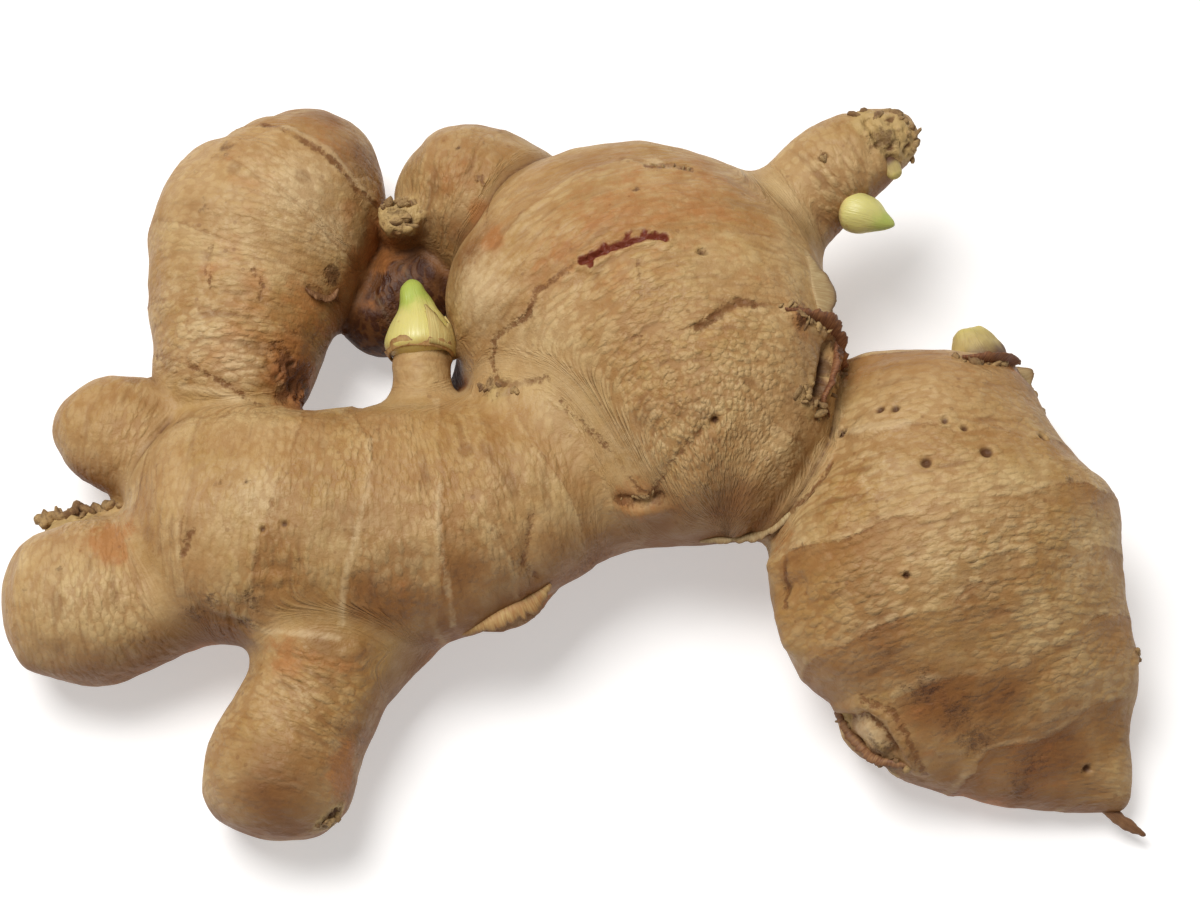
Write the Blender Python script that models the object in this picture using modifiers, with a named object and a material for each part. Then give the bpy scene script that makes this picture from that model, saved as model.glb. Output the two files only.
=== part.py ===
"""A hand of fresh ginger lying on its broad side: one rhizome with its fingers, scars, torn scales and a
rootlet, and the young buds that sit in sockets on it. Run it in Blender 4.5. Lengths are in millimetres
until they reach a mesh, which is in metres. +Z is up, and the origin is under the middle of the hand."""

import random

import bmesh
import bpy
import numpy as np
from mathutils import Matrix, Vector

MM = 0.001
UP = (0.0, 0.0, 1.0)
BACK = (0.0, 1.0, 0.0)

# The point of the working frame that lies under the middle of the finished hand.
MIDDLE = (-0.1, 4.5)

# How finely the rhizome is fused, smoothed and thinned.
FUSE_VOXEL = 1.0
SMOOTH_PASSES = 12
RHIZOME_TRIANGLES = 5600

# Points around and along a thick swelling, a thin growth and a bud.
SWELLING_GRID = {"around": 40, "along": 28}
GROWTH_GRID = {"around": 12, "along": 9}
BUD_GRID = {"around": 18, "along": 12}

# The gap that a bud keeps to its socket.
BUD_GAP = 0.3

# The block under the table top, which cuts the resting spots flat.
BLOCK_SIZE = (400, 400, 50)

# Each swelling of the rhizome, from one tip to the other. A station is
# (x, y, height of the middle, half width, half thickness), and blunt is how long each rounded end is.
# Where a swelling isn't cut square to its length, headings turn the half width from +X, in degrees.
# The trunk runs from the left into the heart, the widest lobe, and the shoulder is the lobe on its right.
TRUNK = [
    (-71, -7, 18, 16, 12),
    (-63, -7, 18, 17.5, 15),
    (-52, -8, 18.5, 19, 16.5),
    (-38, -8.4, 19, 19.2, 17),
    (-22, -7.5, 19.5, 19.5, 16.5),
    (-10, -4, 20, 17, 16),
    (3, -1, 20, 13.2, 14),
    (16, -2, 20, 9.2, 11),
    (25, -2.5, 20, 8, 9),
]
HEART = [
    (-20.5, 28.5, 23, 6, 7),
    (-16.5, 28.5, 23, 11, 12),
    (-11.5, 30.5, 23, 17.5, 15.5),
    (-2, 29, 23.5, 24.5, 18.5),
    (8, 24.5, 24, 31, 21),
    (17.5, 21, 24, 33.2, 22),
    (27, 19.3, 24, 31, 21),
    (35, 18.3, 23, 27.2, 18.5),
    (39.5, 17.3, 22, 20.5, 15),
    (43, 14, 21, 11, 10),
]
HEART_HEADINGS = (90, 90, 90, 90, 90, 90, 90, 90, 90, 90)
SHOULDER = [
    (59.5, 21, 19, 11.5, 8.5),
    (58, 13.5, 20, 16, 15),
    (57.6, 2.5, 20.5, 20.3, 19),
    (58.7, -10, 20.5, 28.4, 20.9),
    (59.6, -19.5, 19.5, 27.7, 20),
    (62, -26.5, 17.5, 26.2, 17.8),
    (66.4, -32, 15, 23.3, 15),
    (68.8, -38, 12.5, 21.8, 12.3),
    (72, -43.5, 9.5, 17.2, 9),
    (78, -47.7, 7, 11, 6.2),
    (86.5, -51.5, 5, 2.4, 2.5),
]
SHOULDER_HEADINGS = (-2, 0, 5, 9, 13, 15, 16, 17, 17, 14, 8)
# The tall finger stands behind the trunk's left end, with the knuckle and the side finger beside it.
TALL_FINGER = [
    (-54.5, 8, 17, 11, 10),
    (-54.8, 23, 16.5, 14.2, 13),
    (-53.6, 33.5, 16, 16.9, 15),
    (-51.3, 43.5, 16, 18.7, 16.4),
    (-46.2, 52.5, 15.5, 15.4, 15),
    (-44.8, 60, 15, 11.7, 12),
    (-45, 66.5, 15, 6.5, 7),
]
KNUCKLE = [
    (-62, 5, 15, 9, 8.5),
    (-74, 8.8, 15, 9.8, 9.5),
    (-84.3, 11.4, 15, 6.4, 6.5),
]
SIDE_FINGER = [
    (-55, -15, 16, 11, 11),
    (-67, -18, 14.5, 11.6, 11.5),
    (-76.5, -19, 13.5, 13.7, 12.5),
    (-84.5, -19.5, 13, 11.4, 11),
    (-91, -20, 13, 9.2, 8),
]
FRONT_FINGER = [
    (-35.5, -18, 16, 14, 13),
    (-38.8, -31, 13.5, 11.2, 12.2),
    (-43.4, -40.5, 12.3, 11.5, 12.4),
    (-46, -49, 11.8, 11.8, 12.2),
    (-46.8, -57.2, 11.5, 10.2, 9.5),
]
# The back finger and the dark finger under it lie behind the heart, and the top knob on its far corner.
BACK_FINGER = [
    (0, 39.2, 15, 12, 12),
    (-9, 45.3, 15.2, 13, 14),
    (-17.3, 49.8, 15.3, 12.8, 15.6),
    (-29.7, 51.8, 15, 8, 9.5),
]
UNDER_FINGER = [
    (-16, 42, 10, 9, 8),
    (-24, 38, 9.5, 9, 8.5),
    (-31, 33, 9, 8, 8),
    (-37.5, 27.5, 8.5, 5.5, 6.5),
]
TOP_KNOB = [
    (31, 37, 24, 8.5, 8.5),
    (37.5, 45.3, 27, 8.2, 7.8),
    (43, 49.9, 29, 8.1, 7.2),
    (48.5, 52.6, 30, 6.7, 6),
    (52.6, 54.2, 30.5, 4.8, 4.6),
    (56, 54.6, 31, 3, 3),
]
# The stalk and the seat that carry buds, and the flesh that fills the crotches between the lobes and rounds
# out the shoulder's far corner.
BUD_STALK = [
    (-24, 8, 22, 5.5, 5.5),
    (-24, 16, 23.5, 4.8, 4.8),
    (-24.3, 20.5, 24, 5.2, 5.2),
]
BRIDGE = [
    (-16, 9, 13, 7, 8),
    (-13.5, 18, 12.5, 6.5, 8),
    (-11, 28, 13, 7, 8),
]
DRY_SEAT = [
    (66.5, 9, 19.5, 8, 8),
    (66.3, 14, 21, 6.5, 6.5),
    (66, 18.8, 22.2, 4.9, 4.9),
]
WEB = [
    (-24, -20, 13, 7, 7),
    (-29, -27, 12, 6, 8),
    (-34, -33, 12, 5, 8),
]
SADDLE = [
    (-14, 12, 18, 7, 8),
    (-4, 7.5, 23, 10, 12.3),
    (6, 2.5, 23, 11, 12.3),
    (16, -4, 20, 9, 11),
    (24, -9, 17, 5, 8),
]
CORNER = [
    (43.5, 13.5, 20, 3.2, 5),
    (46.8, 15.2, 21, 4.6, 6.5),
    (52, 15, 21.5, 5.4, 7.5),
    (58, 14.2, 20.5, 6, 8),
]

SWELLINGS = [
    {"stations": TRUNK, "blunt": (12, 8)},
    {"stations": HEART, "blunt": (3, 4), "headings": HEART_HEADINGS},
    {"stations": SHOULDER, "blunt": (6, 2), "headings": SHOULDER_HEADINGS},
    {"stations": TALL_FINGER, "blunt": (8, 6)},
    {"stations": KNUCKLE, "blunt": (6, 7)},
    {"stations": SIDE_FINGER, "blunt": (8, 5)},
    {"stations": FRONT_FINGER, "blunt": (8, 6)},
    {"stations": BACK_FINGER, "blunt": (6, 8)},
    {"stations": UNDER_FINGER, "blunt": (6, 6)},
    {"stations": TOP_KNOB, "blunt": (5, 2)},
    {"stations": BUD_STALK, "blunt": (3, 1)},
    {"stations": BRIDGE, "blunt": (4, 4)},
    {"stations": WEB, "blunt": (4, 4)},
    {"stations": SADDLE, "blunt": (5, 4)},
    {"stations": CORNER, "blunt": (3, 3)},
    {"stations": DRY_SEAT, "blunt": (3, 1)},
]

# Thin or small growths that fuse onto the thinned body: the ledge of old scales behind the side finger,
# the broken shoot's stub, the torn ledge under the trunk, the folded scar at the shoulder's corner, a
# papery scale and the last rootlet.
CRUST_SEAT = [(-68, -5.2, 11, 3.6, 3), (-79, -5, 8.5, 3.2, 3), (-87.5, -5, 8.5, 2.2, 2.2)]
STUB = [(-27.5, 44.5, 12, 4, 4), (-28, 43.5, 21, 3.3, 3.3), (-28.4, 43, 26, 3.7, 3.5)]
LEDGE = [(-20, -20.5, 11, 3, 1.5), (-10.5, -17.6, 10.5, 5.6, 2), (-2.5, -12.5, 11, 3, 1.5)]
FOLD = [(43, -33.5, 10, 1.5, 2), (45.5, -39.5, 7.5, 3, 2.6), (53, -43, 6.5, 2.5, 2)]
SCALE = [(64, 16, 25, 1.5, 0.5), (71.5, 17, 22.5, 1.6, 0.45), (75.8, 17.3, 21.5, 0.8, 0.4)]
ROOTLET = [(84, -50, 5, 1, 0.8), (87.5, -52.8, 4.2, 1, 0.6), (90.8, -54.6, 3.4, 0.4, 0.4)]

GROWTHS = [
    {"stations": CRUST_SEAT, "blunt": (2, 2)},
    {"stations": STUB, "blunt": (1, 0.8), "level": BACK},
    {"stations": LEDGE, "blunt": (2, 2)},
    {"stations": FOLD, "blunt": (2, 2)},
    {"stations": SCALE, "blunt": (1, 0.5)},
    {"stations": ROOTLET, "blunt": (1, 1)},
]

# Rough crust: grains on the skin along the line from start to end. spread is how far they stray.
CRUSTS = [
    {"start": (-87, -2.6, 7.5), "end": (-79, -1.6, 7), "count": 8, "size": 1.6, "spread": 0.9},
    {"start": (-76, -2.4, 8), "end": (-71.5, -2.6, 10), "count": 4, "size": 1.2, "spread": 0.6},
    {"start": (51.5, 53, 33.5), "end": (55, 54, 30), "count": 9, "size": 2, "spread": 1.1},
    {"start": (45, 37.6, 28), "end": (48, 37.4, 27.5), "count": 4, "size": 1.1, "spread": 0.4},
    {"start": (-30.5, 42.6, 26), "end": (-26.4, 43, 26), "count": 6, "size": 1.4, "spread": 1.3},
    {"start": (41.5, 22.5, 30), "end": (44.5, 17.5, 29), "count": 7, "size": 1.6, "spread": 0.8},
    {"start": (40, 9.5, 31.5), "end": (40.5, 7.5, 31), "count": 4, "size": 1.5, "spread": 0.6},
    {"start": (63.5, 18.6, 21.5), "end": (69, 17.5, 22), "count": 6, "size": 2, "spread": 0.8},
    {"start": (46, -40.5, 6.5), "end": (57, -45, 5), "count": 8, "size": 1.5, "spread": 0.8},
    {"start": (89, -27.5, 13), "end": (89.3, -29, 12), "count": 2, "size": 1, "spread": 0.3},
    {"start": (89.2, -35, 11), "end": (89.4, -36, 10.5), "count": 2, "size": 0.9, "spread": 0.3},
    {"start": (-37.5, -53.5, 9), "end": (-38.5, -55, 8), "count": 3, "size": 2, "spread": 0.7},
]
CRUST_SEED = 7
PIT_SEED = 11
# A height above everything, from which the pits are set on the skin.
SKY = 100
# How far a grain's middle stands off the skin, as a share of its radius.
CRUST_RISE = 0.1

# The pits that old roots left, as (x, y, radius) on the upper skin, and the split across the heart.
PITS = [
    (54, -5.2, 0.9),
    (63.4, -3.4, 1),
    (47.8, 5.2, 0.7),
    (50, 5, 0.7),
    (57.3, 2.1, 0.6),
    (60.3, 0.9, 0.6),
    (73, 1, 0.7),
    (42.2, 2.7, 0.8),
    (22, 1.3, 0.6),
    (80.6, -46.4, 0.7),
]
SPLIT = {
    "stations": [(-0.5, 26, 42.7, 0.35, 0.9), (6, 28.2, 44.4, 0.7, 1.1), (13.5, 30.8, 45.2, 0.4, 0.9)],
    "blunt": (3, 2),
}

# The buds, from the end in the socket to the tip.
BUDS = {
    "shoot_bud": {
        "stations": [
            (-24.2, 17.8, 24.5, 4.2, 4.2),
            (-24.4, 20.5, 25, 5.3, 5.3),
            (-24.6, 23.5, 25.5, 4.8, 4.8),
            (-25, 26.5, 26, 3.1, 3.1),
            (-25.6, 29, 26.5, 2, 2),
            (-25.9, 31, 26.8, 1.3, 1.3),
        ],
        "blunt": (2.5, 1.5),
        "finish": "green",
    },
    "side_bud": {
        "stations": [
            (43.3, 42.2, 29.3, 2.7, 2.7),
            (45.5, 41.4, 30, 3.2, 3.2),
            (48, 40.5, 30.3, 2.8, 2.8),
            (50, 39.5, 30.5, 1.5, 1.5),
            (51.8, 38.8, 30.6, 0.5, 0.5),
        ],
        "blunt": (1.6, 0.6),
        "finish": "green",
    },
    "tip_bud": {
        "stations": [
            (50.6, 50, 32, 1.2, 1.2),
            (51.6, 48.2, 32.2, 1.4, 1.4),
            (52.4, 46.4, 32.3, 0.8, 0.8),
        ],
        "blunt": (0.8, 0.6),
        "finish": "dry",
    },
    "dry_bud": {
        "stations": [
            (66, 16.6, 22.3, 3.4, 3.4),
            (65.6, 19.2, 22.8, 3.5, 3.2),
            (65.2, 21.4, 23.2, 2.9, 2.6),
            (65, 23, 23.4, 1.8, 1.6),
        ],
        "blunt": (1.5, 1),
        "finish": "dry",
    },
}

FINISHES = {
    "skin": {"colour": (0.44, 0.29, 0.13), "roughness": 0.55, "metallic": 0.0},
    "green": {"colour": (0.6, 0.57, 0.15), "roughness": 0.35, "metallic": 0.0},
    "dry": {"colour": (0.45, 0.34, 0.13), "roughness": 0.6, "metallic": 0.0},
}

# How finely a spine's direction is read, as a share of its length, and the width under which a point of
# the sphere is a pole.
SPINE_STEP = 1e-3
POLE_WIDTH = 1e-6
# The least and greatest share of its radius at which a grain's points stand.
GRAIN_ROUGHNESS = (0.75, 1.15)
# The least and greatest share of the stated size that a grain has.
GRAIN_SIZES = (0.7, 1.1)


def eased(keys, values, at):
    """values at the given keys, joined by a smooth curve and read at each number in at."""
    keys, values = np.asarray(keys, float), np.asarray(values, float)
    slopes = np.gradient(values, keys, axis=0)
    i = np.clip(np.searchsorted(keys, at, side="right") - 1, 0, len(keys) - 2)
    span = keys[i + 1] - keys[i]
    t = (at - keys[i]) / span
    rise = 3 * t**2 - 2 * t**3
    start = (t**3 - 2 * t**2 + t) * span
    end = (t**3 - t**2) * span
    columns = (slice(None), None)
    return (
        values[i] * (1 - rise)[columns]
        + values[i + 1] * rise[columns]
        + slopes[i] * start[columns]
        + slopes[i + 1] * end[columns]
    )


def rounding(along, length, blunt):
    """How far each point of a swelling stands out, from 0 at a tip to 1 past its rounded end."""
    near_start = np.clip(along / blunt[0], 0, 1)
    near_end = np.clip((length - along) / blunt[1], 0, 1)
    return np.sqrt((1 - (1 - near_start) ** 2) * (1 - (1 - near_end) ** 2))


def section_frames(tangent, heading, level):
    """The directions of the half width and the half thickness at each point of a spine."""
    if heading is None:
        side = np.cross(level, tangent)
        side /= np.linalg.norm(side, axis=1)[:, None]
        return side, np.cross(tangent, side)
    turned = np.radians(heading)
    side = np.column_stack([np.cos(turned), np.sin(turned), np.zeros_like(turned)])
    return side, np.tile(level, (len(side), 1))


def swelling_mesh(stations, blunt, grid, headings=None, level=UP, grow=0.0):
    """A UV sphere drawn out along the stations, and grown outwards by grow. level is the direction of
    their half thickness."""
    bm = bmesh.new()
    bmesh.ops.create_uvsphere(bm, u_segments=grid["around"], v_segments=grid["along"], radius=1.0)
    unit = np.array([v.co for v in bm.verts])
    points = np.asarray(stations, float)
    keys = np.concatenate([[0], np.cumsum(np.linalg.norm(np.diff(points[:, :3], axis=0), axis=1))])
    reach = np.clip((1 + unit[:, 2]) / 2, 0, 1) * keys[-1]
    station = eased(keys, points, reach)
    step = keys[-1] * SPINE_STEP
    ahead = eased(keys, points[:, :3], np.clip(reach + step, 0, keys[-1]))
    behind = eased(keys, points[:, :3], np.clip(reach - step, 0, keys[-1]))
    tangent = ahead - behind
    tangent /= np.linalg.norm(tangent, axis=1)[:, None]
    heading = None if headings is None else eased(keys, np.asarray(headings, float)[:, None], reach)
    side, thick = section_frames(tangent, None if heading is None else heading[:, 0], level)
    flat = np.hypot(unit[:, 0], unit[:, 1])
    flat[flat < POLE_WIDTH] = 1.0
    out = rounding(reach, keys[-1], blunt)
    moved = (
        station[:, :3]
        + (unit[:, 2] * grow)[:, None] * tangent
        + (out * (station[:, 3] + grow) * unit[:, 0] / flat)[:, None] * side
        + (out * (station[:, 4] + grow) * unit[:, 1] / flat)[:, None] * thick
    )
    for vertex, place in zip(bm.verts, moved):
        vertex.co = Vector(place) * MM
    mesh = bpy.data.meshes.new("swelling")
    bm.to_mesh(mesh)
    bm.free()
    return mesh


def lump_mesh(centre, size, rng):
    """One grain of crust: an icosphere with its points pushed in and out."""
    bm = bmesh.new()
    bmesh.ops.create_icosphere(bm, subdivisions=1, radius=size * MM)
    for vertex in bm.verts:
        vertex.co *= rng.uniform(*GRAIN_ROUGHNESS)
        vertex.co += Vector(centre) * MM
    mesh = bpy.data.meshes.new("lump")
    bm.to_mesh(mesh)
    bm.free()
    return mesh


def new_object(name, mesh, collection):
    """An object with the mesh, in the collection."""
    obj = bpy.data.objects.new(name, mesh)
    collection.objects.link(obj)
    return obj


def joined(name, meshes, collection):
    """One object that holds every given mesh."""
    bm = bmesh.new()
    for mesh in meshes:
        bm.from_mesh(mesh)
        bpy.data.meshes.remove(mesh)
    mesh = bpy.data.meshes.new(name)
    bm.to_mesh(mesh)
    bm.free()
    return new_object(name, mesh, collection)


def applied(obj):
    """Makes what the object's modifiers give its own mesh."""
    graph = bpy.context.evaluated_depsgraph_get()
    mesh = bpy.data.meshes.new_from_object(obj.evaluated_get(graph))
    obj.modifiers.clear()
    obj.data = mesh


def triangles(mesh):
    """How many triangles the mesh's faces make."""
    return sum(len(p.vertices) - 2 for p in mesh.polygons)


def fused_rhizome(collection):
    """The swellings, grown into one body with soft creases between them."""
    meshes = [swelling_mesh(**swelling, grid=SWELLING_GRID) for swelling in SWELLINGS]
    body = joined("rhizome", meshes, collection)
    fuse = body.modifiers.new("fuse", "REMESH")
    fuse.mode = "VOXEL"
    fuse.voxel_size = FUSE_VOXEL * MM
    soften = body.modifiers.new("soften", "SMOOTH")
    soften.factor = 0.5
    soften.iterations = SMOOTH_PASSES
    applied(body)
    thin = body.modifiers.new("thin", "DECIMATE")
    thin.ratio = RHIZOME_TRIANGLES / triangles(body.data)
    applied(body)
    return body


def boolean(body, operation, operand):
    """One Boolean on the body, with one object or with a collection of them."""
    cut = body.modifiers.new(operation.lower(), "BOOLEAN")
    cut.operation = operation
    if isinstance(operand, bpy.types.Collection):
        cut.operand_type = "COLLECTION"
        cut.collection = operand
    else:
        cut.object = operand
    applied(body)


def add_growths(body, tools):
    """Joins the thin growths to the body, and then the crust."""
    for growth in GROWTHS:
        new_object("growth", swelling_mesh(**growth, grid=GROWTH_GRID), tools)
    boolean(body, "UNION", tools)
    empty_out(tools)
    lumps = []
    rng = random.Random(CRUST_SEED)
    for crust in CRUSTS:
        start, end = Vector(crust["start"]), Vector(crust["end"])
        for i in range(crust["count"]):
            share = (i + 0.5) / crust["count"]
            stray = Vector(rng.uniform(-1, 1) for _ in range(3)) * crust["spread"]
            wanted = (start.lerp(end, share) + stray) * MM
            found, on_skin, normal, face = body.closest_point_on_mesh(wanted)
            size = crust["size"] * rng.uniform(*GRAIN_SIZES)
            lumps.append(lump_mesh(on_skin / MM + normal * size * CRUST_RISE, size, rng))
    for lump in lumps:
        new_object("lump", lump, tools)
    boolean(body, "UNION", tools)
    empty_out(tools)


def cut_scars(body, tools):
    """Sinks the root pits and the split into the upper skin."""
    rng = random.Random(PIT_SEED)
    for x, y, radius in PITS:
        above = Vector((x, y, SKY)) * MM
        found, on_skin, normal, face = body.ray_cast(above, Vector((0, 0, -1)))
        new_object("pit", lump_mesh(on_skin / MM, radius, rng), tools)
    new_object("split", swelling_mesh(**SPLIT, grid=GROWTH_GRID), tools)
    boolean(body, "DIFFERENCE", tools)
    empty_out(tools)


def empty_out(collection):
    """Removes the objects that a cut or a union has used."""
    for obj in list(collection.objects):
        bpy.data.objects.remove(obj)


def cut_resting_spots(body, tools):
    """Cuts the undersides flat where they press on the table at z = 0."""
    bm = bmesh.new()
    bmesh.ops.create_cube(bm, size=1.0)
    bmesh.ops.scale(bm, vec=Vector(BLOCK_SIZE) * MM, verts=bm.verts)
    bmesh.ops.translate(bm, vec=(0, 0, -BLOCK_SIZE[2] * MM / 2), verts=bm.verts)
    mesh = bpy.data.meshes.new("block")
    bm.to_mesh(mesh)
    bm.free()
    boolean(body, "DIFFERENCE", new_object("block", mesh, tools))
    empty_out(tools)


def add_buds(body, collection, tools):
    """Cuts a socket for each bud and sets the bud in it."""
    for name, bud in BUDS.items():
        shape = {"stations": bud["stations"], "blunt": bud["blunt"], "grid": BUD_GRID}
        cutter = new_object("socket", swelling_mesh(**shape, grow=BUD_GAP), tools)
        boolean(body, "DIFFERENCE", cutter)
        empty_out(tools)
        obj = new_object(name, swelling_mesh(**shape), collection)
        base = Vector(bud["stations"][0][:3]) * MM
        obj.data.transform(Matrix.Translation(-base))
        obj.location = base


def finish(obj, kind):
    """Gives the object a material of its own and smooth shading."""
    material = bpy.data.materials.new(f"{obj.name}_{kind}")
    material.use_nodes = True
    shader = material.node_tree.nodes["Principled BSDF"]
    shader.inputs["Base Color"].default_value = (*FINISHES[kind]["colour"], 1.0)
    shader.inputs["Roughness"].default_value = FINISHES[kind]["roughness"]
    shader.inputs["Metallic"].default_value = FINISHES[kind]["metallic"]
    obj.data.materials.clear()
    obj.data.materials.append(material)
    obj.data.shade_smooth()


def main():
    """Builds the rhizome and its buds, and sets them over the origin."""
    for obj in list(bpy.data.objects):
        bpy.data.objects.remove(obj)
    parts = bpy.data.collections.new("ginger_root")
    bpy.context.scene.collection.children.link(parts)
    tools = bpy.data.collections.new("tools")
    bpy.context.scene.collection.children.link(tools)
    body = fused_rhizome(parts)
    add_growths(body, tools)
    cut_scars(body, tools)
    cut_resting_spots(body, tools)
    add_buds(body, parts, tools)
    bpy.data.collections.remove(tools)
    finish(body, "skin")
    for name, bud in BUDS.items():
        finish(bpy.data.objects[name], bud["finish"])
    hand = bpy.data.objects.new("hand", None)
    hand.location = -Vector((*MIDDLE, 0)) * MM
    for obj in parts.objects:
        obj.parent = hand
    parts.objects.link(hand)


main()
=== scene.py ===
import math

import bmesh
import bpy
import numpy as np
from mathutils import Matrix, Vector
from mathutils.bvhtree import BVHTree


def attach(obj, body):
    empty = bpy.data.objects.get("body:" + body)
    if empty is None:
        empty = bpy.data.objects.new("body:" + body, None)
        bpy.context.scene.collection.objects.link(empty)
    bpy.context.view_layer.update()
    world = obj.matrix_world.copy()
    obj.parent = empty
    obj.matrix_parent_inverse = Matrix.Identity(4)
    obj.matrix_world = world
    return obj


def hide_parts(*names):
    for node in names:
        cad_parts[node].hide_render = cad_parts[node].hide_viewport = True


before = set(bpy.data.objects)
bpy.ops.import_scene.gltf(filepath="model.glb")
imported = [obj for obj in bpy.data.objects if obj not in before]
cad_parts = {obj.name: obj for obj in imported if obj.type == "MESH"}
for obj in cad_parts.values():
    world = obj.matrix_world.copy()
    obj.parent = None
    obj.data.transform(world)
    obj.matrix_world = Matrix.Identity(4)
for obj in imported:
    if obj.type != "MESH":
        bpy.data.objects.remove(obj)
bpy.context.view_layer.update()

MM = 0.001
UP = (0.0, 0.0, 1.0)
BACK = (0.0, 1.0, 0.0)
# The point of the stations' frame that lies under the middle of the finished hand.
MIDDLE = (-0.1, 4.5, 0.0)

# Camera and light.

PHOTO_WIDTH, PHOTO_HEIGHT = 1200, 900
CAMERA_AIM = Vector((0.0046, -0.0002, 0.020))
CAMERA_ELEVATION = math.radians(70)
CAMERA_DISTANCE = 0.453
CAMERA_LENS = 85
SENSOR_WIDTH = 36
CAMERA_BACK = Vector((0, -math.cos(CAMERA_ELEVATION), math.sin(CAMERA_ELEVATION)))
CAMERA_UP = Vector((0, math.sin(CAMERA_ELEVATION), math.cos(CAMERA_ELEVATION)))
CAMERA_PLACE = CAMERA_AIM + CAMERA_BACK * CAMERA_DISTANCE
ROOM_LIGHT = 0.22
ROOM_COLOUR = (1.0, 0.93, 0.86, 1.0)
# Each light: its name, its place and its size in metres, and its power.
LIGHTS = [("key_light", (-0.3, 0.27, 1.05), 0.5, 11.8), ("fill_light", (0.5, -0.5, 0.8), 0.8, 0.5)]
FLOOR_COLOUR = (0.72, 0.71, 0.70, 1.0)
FLOOR_GLOW = 0.42
FLOOR_HALF_WIDTH = 3.0


def add_camera():
    """The camera at the photograph's viewing angle."""
    data = bpy.data.cameras.new("camera")
    data.lens = CAMERA_LENS
    data.sensor_width = SENSOR_WIDTH
    data.clip_start = 0.01
    camera = bpy.data.objects.new("camera", data)
    camera.location = CAMERA_PLACE
    camera.rotation_mode = "QUATERNION"
    camera.rotation_quaternion = (-CAMERA_BACK).to_track_quat("-Z", "Y")
    bpy.context.scene.collection.objects.link(camera)
    bpy.context.scene.camera = camera


def add_light(name, place, size, power):
    """A square soft light that faces the hand."""
    data = bpy.data.lights.new(name, "AREA")
    data.size = size
    data.energy = power
    light = bpy.data.objects.new(name, data)
    light.location = place
    light.rotation_mode = "QUATERNION"
    light.rotation_quaternion = (CAMERA_AIM - Vector(place)).to_track_quat("-Z", "Y")
    bpy.context.scene.collection.objects.link(light)


def add_studio():
    """A white room, a soft light from behind on the left, a weaker one from the front, and the floor."""
    world = bpy.data.worlds.new("studio")
    world.use_nodes = True
    world.node_tree.nodes["Background"].inputs["Color"].default_value = ROOM_COLOUR
    world.node_tree.nodes["Background"].inputs["Strength"].default_value = ROOM_LIGHT
    bpy.context.scene.world = world
    bpy.context.scene.view_settings.view_transform = "Standard"
    for light in LIGHTS:
        add_light(*light)
    bm = bmesh.new()
    bmesh.ops.create_grid(bm, x_segments=1, y_segments=1, size=FLOOR_HALF_WIDTH)
    mesh = bpy.data.meshes.new("floor")
    bm.to_mesh(mesh)
    bm.free()
    floor = bpy.data.objects.new("floor", mesh)
    bpy.context.scene.collection.objects.link(floor)
    paint = bpy.data.materials.new("floor")
    paint.use_nodes = True
    shader = paint.node_tree.nodes["Principled BSDF"]
    shader.inputs["Base Color"].default_value = FLOOR_COLOUR
    shader.inputs["Emission Color"].default_value = (1.0, 1.0, 1.0, 1.0)
    shader.inputs["Emission Strength"].default_value = FLOOR_GLOW
    shader.inputs["Roughness"].default_value = 0.9
    shader.inputs["Specular IOR Level"].default_value = 0.1
    floor.data.materials.append(paint)


add_camera()
add_studio()

# The hand's swellings.

# Each swelling from one tip to the other, as in the solid. A station is
# (x, y, height of the middle, half width, half thickness), and blunt is how long each rounded end is.
TRUNK = [
    (-71, -7, 18, 16, 12), (-63, -7, 18, 17.5, 15), (-52, -8, 18.5, 19, 16.5), (-38, -8.4, 19, 19.2, 17),
    (-22, -7.5, 19.5, 19.5, 16.5), (-10, -4, 20, 17, 16), (3, -1, 20, 13.2, 14), (16, -2, 20, 9.2, 11),
    (25, -2.5, 20, 8, 9),
]
HEART = [
    (-20.5, 28.5, 23, 6, 7), (-16.5, 28.5, 23, 11, 12), (-11.5, 30.5, 23, 17.5, 15.5),
    (-2, 29, 23.5, 24.5, 18.5), (8, 24.5, 24, 31, 21), (17.5, 21, 24, 33.2, 22), (27, 19.3, 24, 31, 21),
    (35, 18.3, 23, 27.2, 18.5), (39.5, 17.3, 22, 20.5, 15), (43, 14, 21, 11, 10),
]
HEART_HEADINGS = (90,) * 10
SHOULDER = [
    (59.5, 21, 19, 11.5, 8.5), (58, 13.5, 20, 16, 15), (57.6, 2.5, 20.5, 20.3, 19),
    (58.7, -10, 20.5, 28.4, 20.9), (59.6, -19.5, 19.5, 27.7, 20), (62, -26.5, 17.5, 26.2, 17.8),
    (66.4, -32, 15, 23.3, 15), (68.8, -38, 12.5, 21.8, 12.3), (72, -43.5, 9.5, 17.2, 9),
    (78, -47.7, 7, 11, 6.2), (86.5, -51.5, 5, 2.4, 2.5),
]
SHOULDER_HEADINGS = (-2, 0, 5, 9, 13, 15, 16, 17, 17, 14, 8)
TALL_FINGER = [
    (-54.5, 8, 17, 11, 10), (-54.8, 23, 16.5, 14.2, 13), (-53.6, 33.5, 16, 16.9, 15),
    (-51.3, 43.5, 16, 18.7, 16.4), (-46.2, 52.5, 15.5, 15.4, 15), (-44.8, 60, 15, 11.7, 12),
    (-45, 66.5, 15, 6.5, 7),
]
KNUCKLE = [
    (-62, 5, 15, 9, 8.5), (-74, 8.8, 15, 9.8, 9.5), (-84.3, 11.4, 15, 6.4, 6.5),
]
SIDE_FINGER = [
    (-55, -15, 16, 11, 11), (-67, -18, 14.5, 11.6, 11.5), (-76.5, -19, 13.5, 13.7, 12.5),
    (-84.5, -19.5, 13, 11.4, 11), (-91, -20, 13, 9.2, 8),
]
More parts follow.
